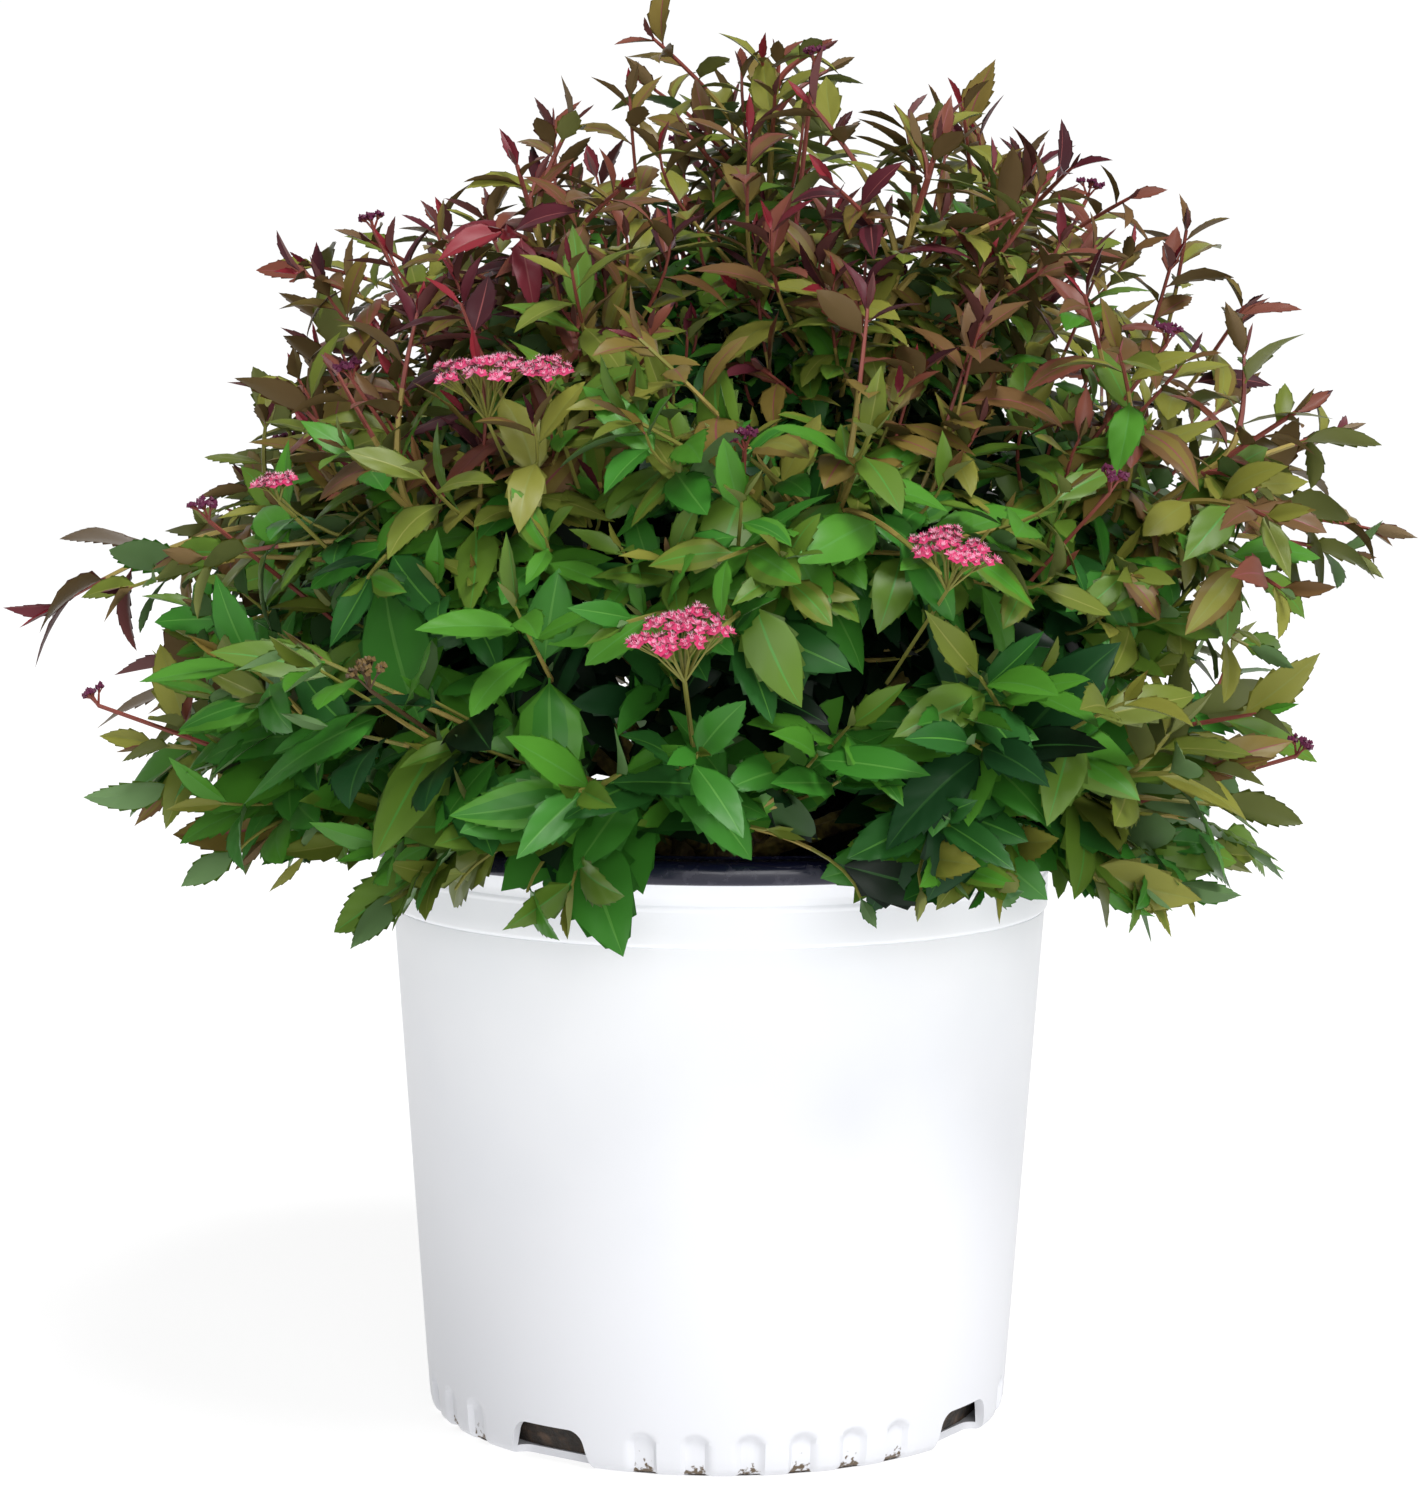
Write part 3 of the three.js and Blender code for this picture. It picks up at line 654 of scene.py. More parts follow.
PETIOLE = 0.06  # of a leaf's length
PETIOLE_HALF = 0.45  # mm, half its width
RIB_SHARE = 0.05  # of the half width that the midrib takes
HALF_SHARE = 0.52  # of the half width where the blade arches most
VEIN_LEAD = 0.14  # of the length that a side vein runs ahead of its foot
TOOTH_OUT = 1.12  # of the half width, where the teeth end
NOTCH_OUT = 0.93  # of the half width, where they start
TOOTH_RUN = 0.75  # of the way between two stations
VEIN_RELIEF = 0.042  # of the half width that the blade swells between its side veins
THICKNESS = 0.45  # mm, at the stalk
THINNING = 0.55  # of the thickness that is gone at the tip
RIPPLES = 11.0  # radians of the edge's wave along a leaf
RIPPLE_LAG = 0.9  # radians between its two edges and the middle
STRAIGHT = 1e-3  # radians, the least bend that is worked out


class LeafPart(Enum):
    """The parts of a leaf that take a paint of their own."""

    RIB = 0
    BLADE = 1
    EDGE = 2
    UNDER = 3


@dataclass(eq=False)
class LeafForm:
    """The mesh that all leaves of one kind share, before each is shaped."""

    stations: int
    ribbed: bool
    spots: list[tuple[float, float, float, float]] = field(default_factory=list)
    faces: list[list[int]] = field(default_factory=list)
    parts: list[int] = field(default_factory=list)

    def __post_init__(self) -> None:
        """Lays out the vertices and faces."""
        self.names: dict[tuple, int] = {}
        self.lay_spots()
        self.lay_stalk()
        for low in range(1, self.stations - 1):
            self.lay_stretch(low, low + 1)
        self.lay_end(self.stations - 1)
        self.grid = np.array(self.spots)
        self.shape = Faces.of(self.faces)

    def put(
        self, name: tuple, run: float, across: float, under: float = 0.0, vein: float = 0.0
    ) -> None:
        """Adds a vertex by its share of the length and of the half width."""
        self.names[name] = len(self.spots)
        self.spots.append((run, across, under, vein))

    def station(self, number: int) -> float:
        """Returns a station's share of the leaf's length."""
        along = PETIOLE + (1 - PETIOLE) * (number - 1) / (self.stations - 1)
        return along if number else 0.0

    def lay_spots(self) -> None:
        """Adds the vertices, station by station and then the tip."""
        for number in range(self.stations):
            run = self.station(number)
            gap = self.station(number + 1) - run
            vein = -1.0 if number % 2 else 1.0
            notch = NOTCH_OUT if number > 1 else 1.0
            for side in (-1, 1):
                self.put(("edge", number, side), run, side * notch)
                if number and self.ribbed:
                    self.put(("half", number, side), run, side * HALF_SHARE, 0.0, vein)
                    self.put(("rib", number, side), run, side * RIB_SHARE)
                if 0 < number < self.stations - 1:
                    self.put(("tooth", number, side), run + TOOTH_RUN * gap, side * TOOTH_OUT)
            if number and not self.ribbed:
                self.put(("rib", number, 0), run, 0.0, 0.0, -0.5)
            self.put(("keel", number, 0), run, 0.0, 1.0)
        self.put(("tip", 0, 0), 1.0, 0.0)

    def face(self, part: LeafPart, side: int, *names: tuple) -> None:
        """Adds a face through named vertices.

        Args:
            part: what it is painted as.
            side: below nought turns it over.
            names: its corners, counter-clockwise.
        """
        order = names if side > 0 else names[::-1]
        self.faces.append([self.names[name] for name in order])
        self.parts.append(part.value)

    def lay_stalk(self) -> None:
        """Adds the faces of the stalk."""
        if self.ribbed:
            top = [("half", 1, -1), ("rib", 1, -1), ("rib", 1, 1), ("half", 1, 1)]
        else:
            top = [("rib", 1, 0)]
        first, last = [("edge", 0, -1), ("edge", 1, -1)], [("edge", 1, 1), ("edge", 0, 1)]
        self.face(LeafPart.RIB, 1, *first, *top, *last)
        self.face(LeafPart.RIB, 1, ("keel", 0, 0), ("edge", 0, -1), ("edge", 0, 1))
        for side in (-1, 1):
            bottom = [("keel", 1, 0), ("keel", 0, 0)]
            self.face(LeafPart.RIB, side, ("edge", 0, side), ("edge", 1, side), *bottom)

    def band(self, part: LeafPart, side: int, rows: tuple, low: int, high: int) -> None:
        """Adds two triangles between two rows, from one station to the next.

        Args:
            part: what they are painted as.
            side: 1 where they face up on the leaf's left or down on its right.
            rows: the name and side of the row nearer the midrib, then of the other.
            low: the first station.
            high: the next one.
        """
        (inner, inner_side), (outer, outer_side) = rows
        a, b = (inner, low, inner_side), (inner, high, inner_side)
        c, d = (outer, high, outer_side), (outer, low, outer_side)
        self.face(part, side, a, b, c)
        self.face(part, side, a, c, d)

    def lay_stretch(self, low: int, high: int) -> None:
        """Adds the faces between two stations.

        Args:
            low: the first station.
            high: the next one.
        """
        for side in (-1, 1):
            edge, half = ("edge", side), ("half", side)
            if self.ribbed:
                self.band(LeafPart.BLADE, side, (("rib", side), half), low, high)
                self.band(LeafPart.EDGE, side, (half, edge), low, high)
            else:
                self.band(LeafPart.BLADE, side, (("rib", 0), edge), low, high)
            self.band(LeafPart.UNDER, -side, (("keel", 0), edge), low, high)
            tooth = [("edge", low, side), ("edge", high, side), ("tooth", low, side)]
            self.face(LeafPart.EDGE, side, *tooth)
            self.face(LeafPart.EDGE, -side, *tooth)
        if self.ribbed:
            strip = [("rib", low, -1), ("rib", high, -1), ("rib", high, 1), ("rib", low, 1)]
            self.face(LeafPart.RIB, 1, *strip)

    def lay_end(self, low: int) -> None:
        """Adds the faces that close the leaf.

        Args:
            low: the last station before the tip.
        """
        tip = ("tip", 0, 0)
        for side in (-1, 1):
            edge = ("edge", low, side)
            top, bottom = ("rib", low, 0), ("keel", low, 0)
            if self.ribbed:
                top = ("half", low, side)
                self.face(LeafPart.BLADE, side, ("rib", low, side), tip, top)
            self.face(LeafPart.EDGE, side, top, tip, edge)
            self.face(LeafPart.UNDER, -side, bottom, tip, edge)
        if self.ribbed:
            self.face(LeafPart.RIB, 1, ("rib", low, -1), tip, ("rib", low, 1))

    def shaped(self, leaves: "LeafSet") -> ndarray:
        """Bends, folds and places the form as each of some leaves.

        Args:
            leaves: the leaves.

        Returns:
            Their vertices in millimetres, leaves by vertices by 3.
        """
        run, across, under, vein = (self.grid[:, i][None, :] for i in range(4))
        length, half = leaves.column("length"), leaves.column("half")
        rel = np.abs(across)
        share = np.clip((run - PETIOLE) / (1 - PETIOLE), 0.0, 1.0)
        run = run + VEIN_LEAD * rel * 4 * share * (1 - share)
        share = np.clip((run - PETIOLE) / (1 - PETIOLE), 0.0, 1.0)
        first, last = leaves.column("base"), leaves.column("point")
        widest = first / (first + last)
        peak = widest**first * (1 - widest) ** last
        wide = np.maximum(PETIOLE_HALF, half * share**first * (1 - share) ** last / peak)
        wide = np.where(run >= 1.0, 0.0, wide)
        y = across * wide
        z = np.abs(y) * (leaves.column("fold") - leaves.column("cup") * rel)
        z = z + vein * VEIN_RELIEF * wide * 4 * rel * (1 - rel)
        z = z + np.where(self.ribbed, 0.0, vein * VEIN_RELIEF * wide * (rel == 0))
        ripple = np.sin(leaves.column("phase") + RIPPLES * share + np.sign(across) * RIPPLE_LAG)
        z = z + leaves.column("wave") * wide * ripple * rel**2
        z = z - under * THICKNESS * (1.0 - THINNING * share)
        twist = leaves.column("twist") * run
        y, z = y * np.cos(twist) - z * np.sin(twist), y * np.sin(twist) + z * np.cos(twist)
        bend = leaves.column("bend")
        bend = np.where(np.abs(bend) < STRAIGHT, STRAIGHT, bend)
        turn = bend * run
        ahead = length * np.sin(turn) / bend + z * np.sin(turn)
        above = length * (np.cos(turn) - 1) / bend + z * np.cos(turn)
        left = y + leaves.column("sickle") * length * run**2
        axis, face = leaves.vectors("axis"), leaves.vectors("face")
        side = np.cross(face, axis)
        place = leaves.vectors("root")[:, None, :] + ahead[:, :, None] * axis[:, None, :]
        return place + above[:, :, None] * face[:, None, :] + left[:, :, None] * side[:, None, :]

    def paints(self, leaves: "LeafSet") -> ndarray:
        """Returns the number of each face's paint, leaves by faces."""
        dealt = np.array([leaf.paints for leaf in leaves.leaves])
        return dealt[:, np.array(self.parts)]


@dataclass
class Leaf:
    """One leaf's place and measures."""

    root: ndarray
    axis: ndarray
    face: ndarray
    length: float  # mm
    half: float  # mm, half its width
    base: float  # how slowly it widens from its stalk
    point: float  # how soon it narrows to its tip
    fold: float  # how steeply its halves rise from the midrib
    cup: float  # how much they flatten again towards the edge
    bend: float  # radians that it bends down from stalk to tip
    sickle: float  # of its length that the tip lies aside
    twist: float  # radians
    wave: float  # of the half width that its edge rises and falls
    phase: float
    paints: tuple[int, int, int, int]


@dataclass
class LeafSet:
    """Leaves of one form."""

    leaves: list[Leaf] = field(default_factory=list)

    def column(self, name: str) -> ndarray:
        """Returns one measure of every leaf, as a column."""
        return self.vectors(name)[:, None]

    def vectors(self, name: str) -> ndarray:
        """Returns one value or vector of every leaf."""
        return np.array([getattr(leaf, name) for leaf in self.leaves], float)


LARGE_LEAF = LeafForm(13, True)
MIDDLE_LEAF = LeafForm(9, True)
LESSER_LEAF = LeafForm(7, True)
SMALL_LEAF = LeafForm(6, False)
LEAF_FORMS = (LARGE_LEAF, MIDDLE_LEAF, LESSER_LEAF, SMALL_LEAF)
# Plainer forms: for leaves shorter than so many millimetres, or standing deeper than so far out
PLAINER = ((22.0, 0.66, SMALL_LEAF), (33.0, 0.76, LESSER_LEAF), (46.0, 0.0, MIDDLE_LEAF))


def form_for(length: float, out: float) -> LeafForm:
    """Chooses the leaf form whose detail suits a leaf.

    Args:
        length: its length in millimetres.
        out: how far out in the crown it stands, 1 at the reach.

    Returns:
        The form.
    """
    for short, deep, form in PLAINER:
        if length < short or out < deep:
            return form
    return LARGE_LEAF


# -------- the crown's growth rule


@dataclass(frozen=True)
class Tier:
    """A ring of masses: its elevations in degrees and how its shoots and leaves grow."""

    name: str
    count: int
    low: float
    high: float
    axis: float
    turn: float
    twigs: int  # as many as the part's solids have
    fine: int  # finer shoots that the looks add to them
    hem: int  # and short ones along the tier's lower edge
    leaf: float  # mm, a grown leaf
    tip_lift: float  # how far a shoot's tip turns up
    slot: str


TIERS = (
    Tier("low", 6, 8, 30, 0.6, 18, 9, 27, 14, 57, 0.0, "green_leaf"),
    Tier("middle", 7, 30, 56, 0.5, 180, 11, 32, 0, 40, 0.3, "olive_leaf"),
    Tier("top", 5, 56, 75, 0.5, 162, 11, 28, 0, 33, 0.5, "bronze_leaf"),
    Tier("crest", 1, 75, 90, 0.7, 30, 10, 26, 0, 30, 0.6, "red_leaf"),
)
# The furthest shoots: where their tips stand, in millimetres from the foot of the pot
LEADERS = (
    (-29, -15, 564),
    (39, 15, 562),
    (-284, 0, 328),
    (266, -55, 366),
    (200, 40, 491),
    (-173, -40, 468),
    (-232, 30, 260),
    (244, 30, 284),
)


@dataclass(frozen=True)
class Hollow:
    """A broad hollow in the crown, in degrees, and the share of the reach that it takes."""

    azimuth: float
    elevation: float
    around: float
    upwards: float
    depth: float


HOLLOWS = (
    Hollow(180, 42, 45, 11, 0.18),
    Hollow(180, 66, 45, 7, 0.09),
    Hollow(180, 25, 35, 5, 0.12),
    Hollow(180, 8, 40, 7, 0.16),
    Hollow(0, 23, 40, 7, 0.17),
    Hollow(0, 49, 45, 12, -0.05),
    Hollow(75, 38, 30, 9, 0.13),
)


@dataclass(frozen=True)
class Space:
    """The space of one mass: a sector outside its cane's tip, with its angles in radians."""

    tier: Tier
    index: int
    azimuth: float
    half: float  # half its width
    low: float
    high: float
    axis: float  # the elevation of its stem
    start: float  # mm from the foot to the stem's start


def angle_between(one: float, other: float) -> float:
    """Returns how far round the crown one azimuth lies from another."""
    return abs(math.atan2(math.sin(one - other), math.cos(one - other)))


@dataclass(frozen=True)
class CrownRule:
    """The part's rule for where shoots may grow, in millimetres and radians."""

    foot: tuple[float, float, float] = (0.0, 0.0, 220.0)
    head_radius: float = 24.3  # round the foot, where the canes start
    sag: float = 50.0  # how far a shoot hangs down
    sag_reach: float = 280.0  # at this distance
    high_reach: float = 339.0
    low_reach: float = 205.0
    low_angle: float = math.radians(8)
    full_angle: float = math.radians(33)  # from here up the reach is the high one
    lead_in: float = 0.12  # how far under the low angle it starts to grow
    top_gain: float = 5.0
    front_share: float = 0.92
    back_share: float = 0.95
    cane_share: float = 0.34  # of the reach that is cane
    border_wave: float = math.radians(3)
    border_waves: int = 5
    border_slack: float = 0.01  # this near the hem and the zenith a border is straight
    rim_radius: float = 150.5
    rim_height: float = 241.0

    def spot_at(self, azimuth: float, elevation: float, distance: float | ndarray) -> ndarray:
        """Goes out from the foot in a direction, and down by the sag.

        Args:
            azimuth: the direction's turn round the pot.
            elevation: how steeply it rises.
            distance: how far to go, once or for each of several spots.

        Returns:
            The spot or spots.
        """
        distance = np.asarray(distance, float)
        flat = np.cos(elevation) * distance
        rise = np.sin(elevation) * distance - self.sag * (flat / self.sag_reach) ** 2
        x, y, z = self.foot
        return np.stack((x + flat * np.cos(azimuth), y + flat * np.sin(azimuth), z + rise), -1)

    def bearing(self, spot: Sequence[float]) -> tuple[float, float, float]:
        """Finds the way from the foot to a spot, without the sag.

        Args:
            spot: the spot.

        Returns:
            Its azimuth, elevation and distance.
        """
        flat = math.hypot(spot[0] - self.foot[0], spot[1] - self.foot[1])
        rise = spot[2] + self.sag * (flat / self.sag_reach) ** 2 - self.foot[2]
        return math.atan2(spot[1], spot[0]), math.atan2(rise, flat), math.hypot(rise, flat)

    def reach(self, azimuth: float, elevation: float) -> float:
        """Works out how far the leaf tips reach in a direction.

        Args:
            azimuth: the direction's turn round the pot.
            elevation: how steeply it rises.

        Returns:
            The distance from the foot.
        """
        lift = ease(elevation, self.low_angle - self.lead_in, self.full_angle)
        depth = math.sin(azimuth)
        share = self.front_share if depth < 0 else self.back_share
        side = 1 - (1 - share) * depth * depth
        top = self.top_gain * max(0.0, math.sin(elevation)) ** 6
        far = mix(self.low_reach, self.high_reach, lift) * mix(side, 1, math.sin(elevation)) + top
        full = 1.0
        for hollow in HOLLOWS:
            swing = angle_between(azimuth, math.radians(hollow.azimuth)) / math.radians(hollow.around)
            climb = math.degrees(elevation) - hollow.elevation
            full -= hollow.depth * math.exp(-(swing**2) - (climb / hollow.upwards) ** 2)
        return far * full

    def outness(self, spot: Sequence[float]) -> float:
        """Returns how far out a spot lies: 0 at the foot and 1 at the reach."""
        azimuth, elevation, distance = self.bearing(spot)
        return distance / self.reach(azimuth, max(elevation, self.low_angle))

    def space_of(self, tier: Tier, index: int) -> Space:
        """Divides a tier among its masses.

        Args:
            tier: the tier.
            index: the mass's number in it, from nought.

        Returns:
            The mass's space.
        """
        azimuth = math.radians(tier.turn) + index * TURN / tier.count
        low, high = math.radians(tier.low), math.radians(tier.high)
        axis = mix(low, high, tier.axis)
        start = self.cane_share * self.reach(azimuth, axis)
        return Space(tier, index, azimuth, math.pi / tier.count, low, high, axis, start)

    def wave(self, azimuth: float, border: float) -> float:
        """Returns the rise of a border between tiers at an azimuth."""
        free = self.low_angle + self.border_slack < border < math.pi / 2 - self.border_slack
        return self.border_wave * math.sin(self.border_waves * azimuth + border) if free else 0.0

    def holds(self, space: Space, spot: Sequence[float]) -> bool:
        """Tests whether a spot lies in a mass's space.

        Args:
            space: the space.
            spot: the spot.

        Returns:
            Whether it does; the topmost space has no upper border.
        """
        azimuth, elevation, _ = self.bearing(spot)
        swing = angle_between(azimuth, space.azimuth)
        low = space.low + self.wave(azimuth, space.low)
        high = space.high + self.wave(azimuth, space.high)
        topmost = high > math.pi / 2 - self.border_slack
        return swing <= space.half and low < elevation and (elevation < high or topmost)

    def in_pot(self, spots: ndarray, margin: float) -> ndarray:
        """Returns which spots lie in or nearer than a margin to the pot."""
        inside = np.hypot(spots[..., 0], spots[..., 1]) < self.rim_radius + margin
        return inside & (spots[..., 2] < self.rim_height + margin)


RULE = CrownRule()
FOOT = np.array(RULE.foot)
EDGE_PULL = 0.65  # below one draws the tips towards a mass's borders
ACROSS_STEP = 0.7548777  # steps that strew tips evenly, after the plastic number
ALONG_STEP = 0.5698403
TWIG_SPREAD = 0.86  # of a mass's width that its twigs' tips take
FINE_SPREAD = 0.97  # and its finer shoots' tips
TWIG_INSET = math.radians(2.2)  # from a border to the nearest tip
TWIG_SHORTENING = 0.3  # the most of the reach that a twig falls short
FINE_SHORTENING = 0.34  # and a finer shoot
TWIG_SLANT = 1.15  # how far back from its tip a twig leaves the stem
TWIG_BEND = 0.45  # of a twig's way that it still follows the stem
TUFT_SHARE = 0.55  # of a grown leaf that stands beyond a shoot's tip
LEADER_TUFT = 0.8  # of that, on the furthest shoots
THIN_MOST = 0.6  # the share of the finer shoots missing far out on the airy side
AIRY_SIDE = (110.0, 220.0)  # mm to the right, from where to where the crown turns airy
AIRY_LEAF = 0.86  # of the usual size, what leaves have there
HEM_DROOP = -1.1  # how much the tips of the lowest shoots turn down
HEM_REACH = (0.84, 0.97)  # of the reach
FINE_RUN = 95.0  # mm, the length that finer shoots are given where they can
FINE_EASE = 0.8  # the cosine up to which one may leave its twig at no cost
STEM_RADII = (2.4, 0.9)  # mm, at foot and tip
TWIG_RADII = (1.5, 0.7)
FINE_RADII = (1.15, 0.55)
RAISINGS = 4  # how often a leaf that cuts the pot is lifted
LEAF_GAP = 1.0  # mm, from a leaf to the pot
BOX_SHARE = 0.015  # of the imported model's box that leaves may stand past it
BOX_SLACK = 4.5  # mm, and so much more
GOLDEN_TURN = math.radians(137.5)  # from one ray of a flower head to the next
LEAF_TURN = math.radians(144)  # from one leaf of a shoot to the next
# A leaf's measures when youngest, when grown in the shade and when grown in the sun
SLIM = (0.13, 0.245, 0.2)
BASE = (0.85, 0.62, 0.8)
POINT = (1.3, 0.85, 1.15)
FOLD = (0.95, 0.22, 0.45)
BEND = (-0.15, 0.75, 0.95)


def grown_to(measure: tuple[float, float, float], age: float, sun: float) -> float:
    """Returns a measure of a leaf of some age, from 0 to 1, in more or less sun."""
    young, shaded, sunny = measure
    return mix(young, mix(shaded, sunny, sun), age)


def towards_edges(share: float) -> float:
    """Returns a share from 0 to 1 drawn towards both ends."""
    side = 2 * share - 1
    return 0.5 + 0.5 * math.copysign(abs(side) ** EDGE_PULL, side)


@dataclass
class Shoot:
    """One stem, twig or shoot: its line and how thick it is."""

    points: ndarray
    foot_radius: float
    tip_radius: float
    leafy: float  # mm from the tip that carry leaves

    def __post_init__(self) -> None:
        """Measures the line."""
        gaps = np.linalg.norm(np.diff(self.points, axis=0), axis=1)
        self.runs = np.concatenate(([0.0], np.cumsum(gaps)))
        self.length = float(self.runs[-1])
        slopes = np.gradient(self.points, axis=0)
        self.tangents = slopes / np.linalg.norm(slopes, axis=1)[:, None]

    def at(self, run: float) -> tuple[ndarray, ndarray]:
        """Returns the place and direction at a run from the foot."""
        both = np.array([np.interp(run, self.runs, way) for way in (*self.points.T, *self.tangents.T)])
        return both[:3], unit(both[3:])

    def radius(self, run: float | ndarray) -> float | ndarray:
        """Returns the radius at a run from the foot."""
        return self.foot_radius + (self.tip_radius - self.foot_radius) * run / self.length


# Flat heads of blossom: side, back, height and width in millimetres, and whether it is dry
BLOSSOMS = (
    (-85, -186, 418, 38, False),
    (-62, -195, 420, 20, False),
    (-161, -162, 379, 16, False),
    (-13, -252, 331, 39, False),
    (79, -226, 359, 34, False),
    (-123, -224, 317, 18, True),
)


# Where shoots stay dark red: azimuth, elevation and width in degrees
RED_PATCHES = (
    (-115, 53, 15),
    (-64, 55, 15),
    (-152, 44, 12),
    (-178, 25, 20),
    (12, 56, 14),
    (62, 50, 14),
    (112, 58, 15),
    (158, 50, 13),
    (205, 66, 12),
)


def redness(place: ndarray) -> float:
    """Works out how near a place lies to the middle of a red patch.

    Args:
        place: the place.

    Returns:
        From 0, far, to 1, in the middle.
    """
    azimuth, elevation, _ = RULE.bearing(place)
    most = 0.0
    for turn, rise, width in RED_PATCHES:
        around = math.degrees(angle_between(azimuth, math.radians(turn))) * math.cos(elevation)
        away = math.hypot(around, math.degrees(elevation) - rise) / width
        most = max(most, math.exp(-away * away))
    return most


@dataclass
class Mass:
    """One mass of the crown: its shoots and leaves."""

    space: Space
    seed: int
    shoots: list[Shoot] = field(default_factory=list)
    leaves: dict[LeafForm, LeafSet] = field(default_factory=dict)

    def grow(self) -> None:
        """Grows the stem, the twigs of the part's solids, the finer shoots and the leaves."""
        space, tier = self.space, self.space.tier
        self.dice = Dice(self.seed)
        self.tuft = TUFT_SHARE * tier.leaf
        stem_tip = RULE.reach(space.azimuth, space.axis) - self.tuft
        runs = np.linspace(space.start, stem_tip, 24)
        stem = RULE.spot_at(space.azimuth, space.axis, runs)
        self.shoots.append(Shoot(stem, *STEM_RADII, leafy=150.0))
        ways = [RULE.bearing(tip) for tip in LEADERS if RULE.holds(space, tip)]
        targets = [(turn, rise, far - LEADER_TUFT * self.tuft) for turn, rise, far in ways]
        twigs = range(tier.twigs)
        targets += [self.target(number, TWIG_SPREAD, TWIG_SHORTENING, 2) for number in twigs]
        for target in targets:
            self.add_twig(stem_tip, target)
        for number in range(tier.twigs, tier.twigs + tier.fine):
            self.add_fine(self.target(number, FINE_SPREAD, FINE_SHORTENING, 1), tier.tip_lift)
        for number in range(tier.hem):
            self.add_fine(self.hem_target(number), HEM_DROOP)
        for shoot in self.shoots:
            self.add_leaves(shoot)

    def target(
        self, number: int, spread: float, shortening: float, power: float
    ) -> tuple[float, float, float]:
        """Works out where a numbered shoot's tip goes.

        Args:
            number: the shoot's place in the walk over the mass.
            spread: the share of the mass's azimuths that tips take.
            shortening: the most that a shoot falls short of the reach.
            power: the higher, the fewer shoots fall short.

        Returns:
            The tip's azimuth, elevation and distance.
        """
        space = self.space
        across = towards_edges((0.5 + number * ACROSS_STEP) % 1)
        along = towards_edges((0.5 + number * ALONG_STEP) % 1)
        azimuth = space.azimuth + (2 * across - 1) * space.half * spread
        low = space.low + RULE.wave(azimuth, space.low) + TWIG_INSET
        high = min(space.high + RULE.wave(azimuth, space.high), math.pi / 2) - TWIG_INSET
        elevation = mix(low, high, along)
        share = 1 - shortening * self.dice.throw() ** power
        return azimuth, elevation, (RULE.reach(azimuth, elevation) - self.tuft) * share

    def hem_target(self, number: int) -> tuple[float, float, float]:
        """Works out where the tip of a shoot along the hem goes.

        Args:
            number: the shoot's place along the hem.

        Returns:
            The tip's azimuth, elevation and distance.
        """
        space, tier = self.space, self.space.tier
        azimuth = space.azimuth + (2 * (number + 0.5) / tier.hem - 1) * space.half
        elevation = space.low + math.radians(self.dice.between(0.5, 6.0))
        return azimuth, elevation, RULE.reach(azimuth, elevation) * self.dice.between(*HEM_REACH)

    def add_twig(self, stem_tip: float, target: tuple[float, float, float]) -> None:
        """Adds a twig that leaves the stem where it can reach its tip at an easy angle.

        Args:
            stem_tip: how far from the foot the stem ends.
            target: azimuth, elevation and distance of the twig's tip.
        """
        space = self.space
        azimuth, elevation, distance = target
        rises = math.sin(space.axis) * math.sin(elevation)
        runs = math.cos(space.axis) * math.cos(elevation)
        turn = math.acos(min(1.0, rises + runs * math.cos(azimuth - space.azimuth)))
        leave = distance * (math.cos(turn) - TWIG_SLANT * math.sin(turn))
        start = min(max(leave, space.start + 6), stem_tip - 12)
        bend = start + (distance - start) * TWIG_BEND
        ends = RULE.spot_at(space.azimuth, space.axis, np.array((start, bend)))
        tip = RULE.spot_at(azimuth, elevation, distance)
        points = bezier((ends[0], ends[1], tip), 16)
        if self.clears(points):
            self.shoots.append(Shoot(points, *TWIG_RADII, leafy=140.0))

    def add_fine(self, target: tuple[float, float, float], lift: float) -> None:
        """Adds a finer shoot, from the twig that lies best for its tip.

        Args:
            target: azimuth, elevation and distance of its tip.
            lift: how much its tip turns up.
        """
        azimuth, elevation, distance = target
        tip = RULE.spot_at(azimuth, elevation, distance)
        if self.dice.throw() < THIN_MOST * ease(tip[0], *AIRY_SIDE):
            return
        best, chosen = math.inf, None
        for parent in self.shoots[: 1 + self.space.tier.twigs + len(LEADERS)]:
            ways = tip - parent.points
            far = np.linalg.norm(ways, axis=1)
            turn = np.sum(ways * parent.tangents, axis=1) / np.maximum(far, 1e-6)
            cost = np.abs(far - FINE_RUN) + 220 * np.maximum(0.0, FINE_EASE - turn)
            cost[:2] += 60  # a twig's foot is crowded
            place = int(np.argmin(cost))
            if cost[place] < best:
                best, chosen = float(cost[place]), (parent, place)
        parent, place = chosen
        start, slope = parent.points[place], parent.tangents[place]
        far = float(np.linalg.norm(tip - start))
        away = unit(tip - FOOT) + UP * lift
        points = bezier((start, start + slope * far * 0.35, tip - unit(away) * far * 0.3, tip), 12)
        if self.clears(points):
            self.shoots.append(Shoot(points, *FINE_RADII, leafy=min(125.0, far * 0.92)))

    @staticmethod
    def clears(points: ndarray) -> bool:
        """Returns whether a shoot keeps off the pot and ends where its leaves may hang."""
        return not RULE.in_pot(points, 3.0).any() and bool(points[-1, 2] > hem_at(points[-1]) + 4.0)

    def sun(self, place: ndarray) -> float:
        """Works out how much sun a place has had.

        Args:
            place: the place.

        Returns:
            From 0, deep and low, to 1, high or far out at the sides.
        """
        azimuth, elevation, _ = RULE.bearing(place)
        high = ease(elevation, math.radians(32), math.radians(68))
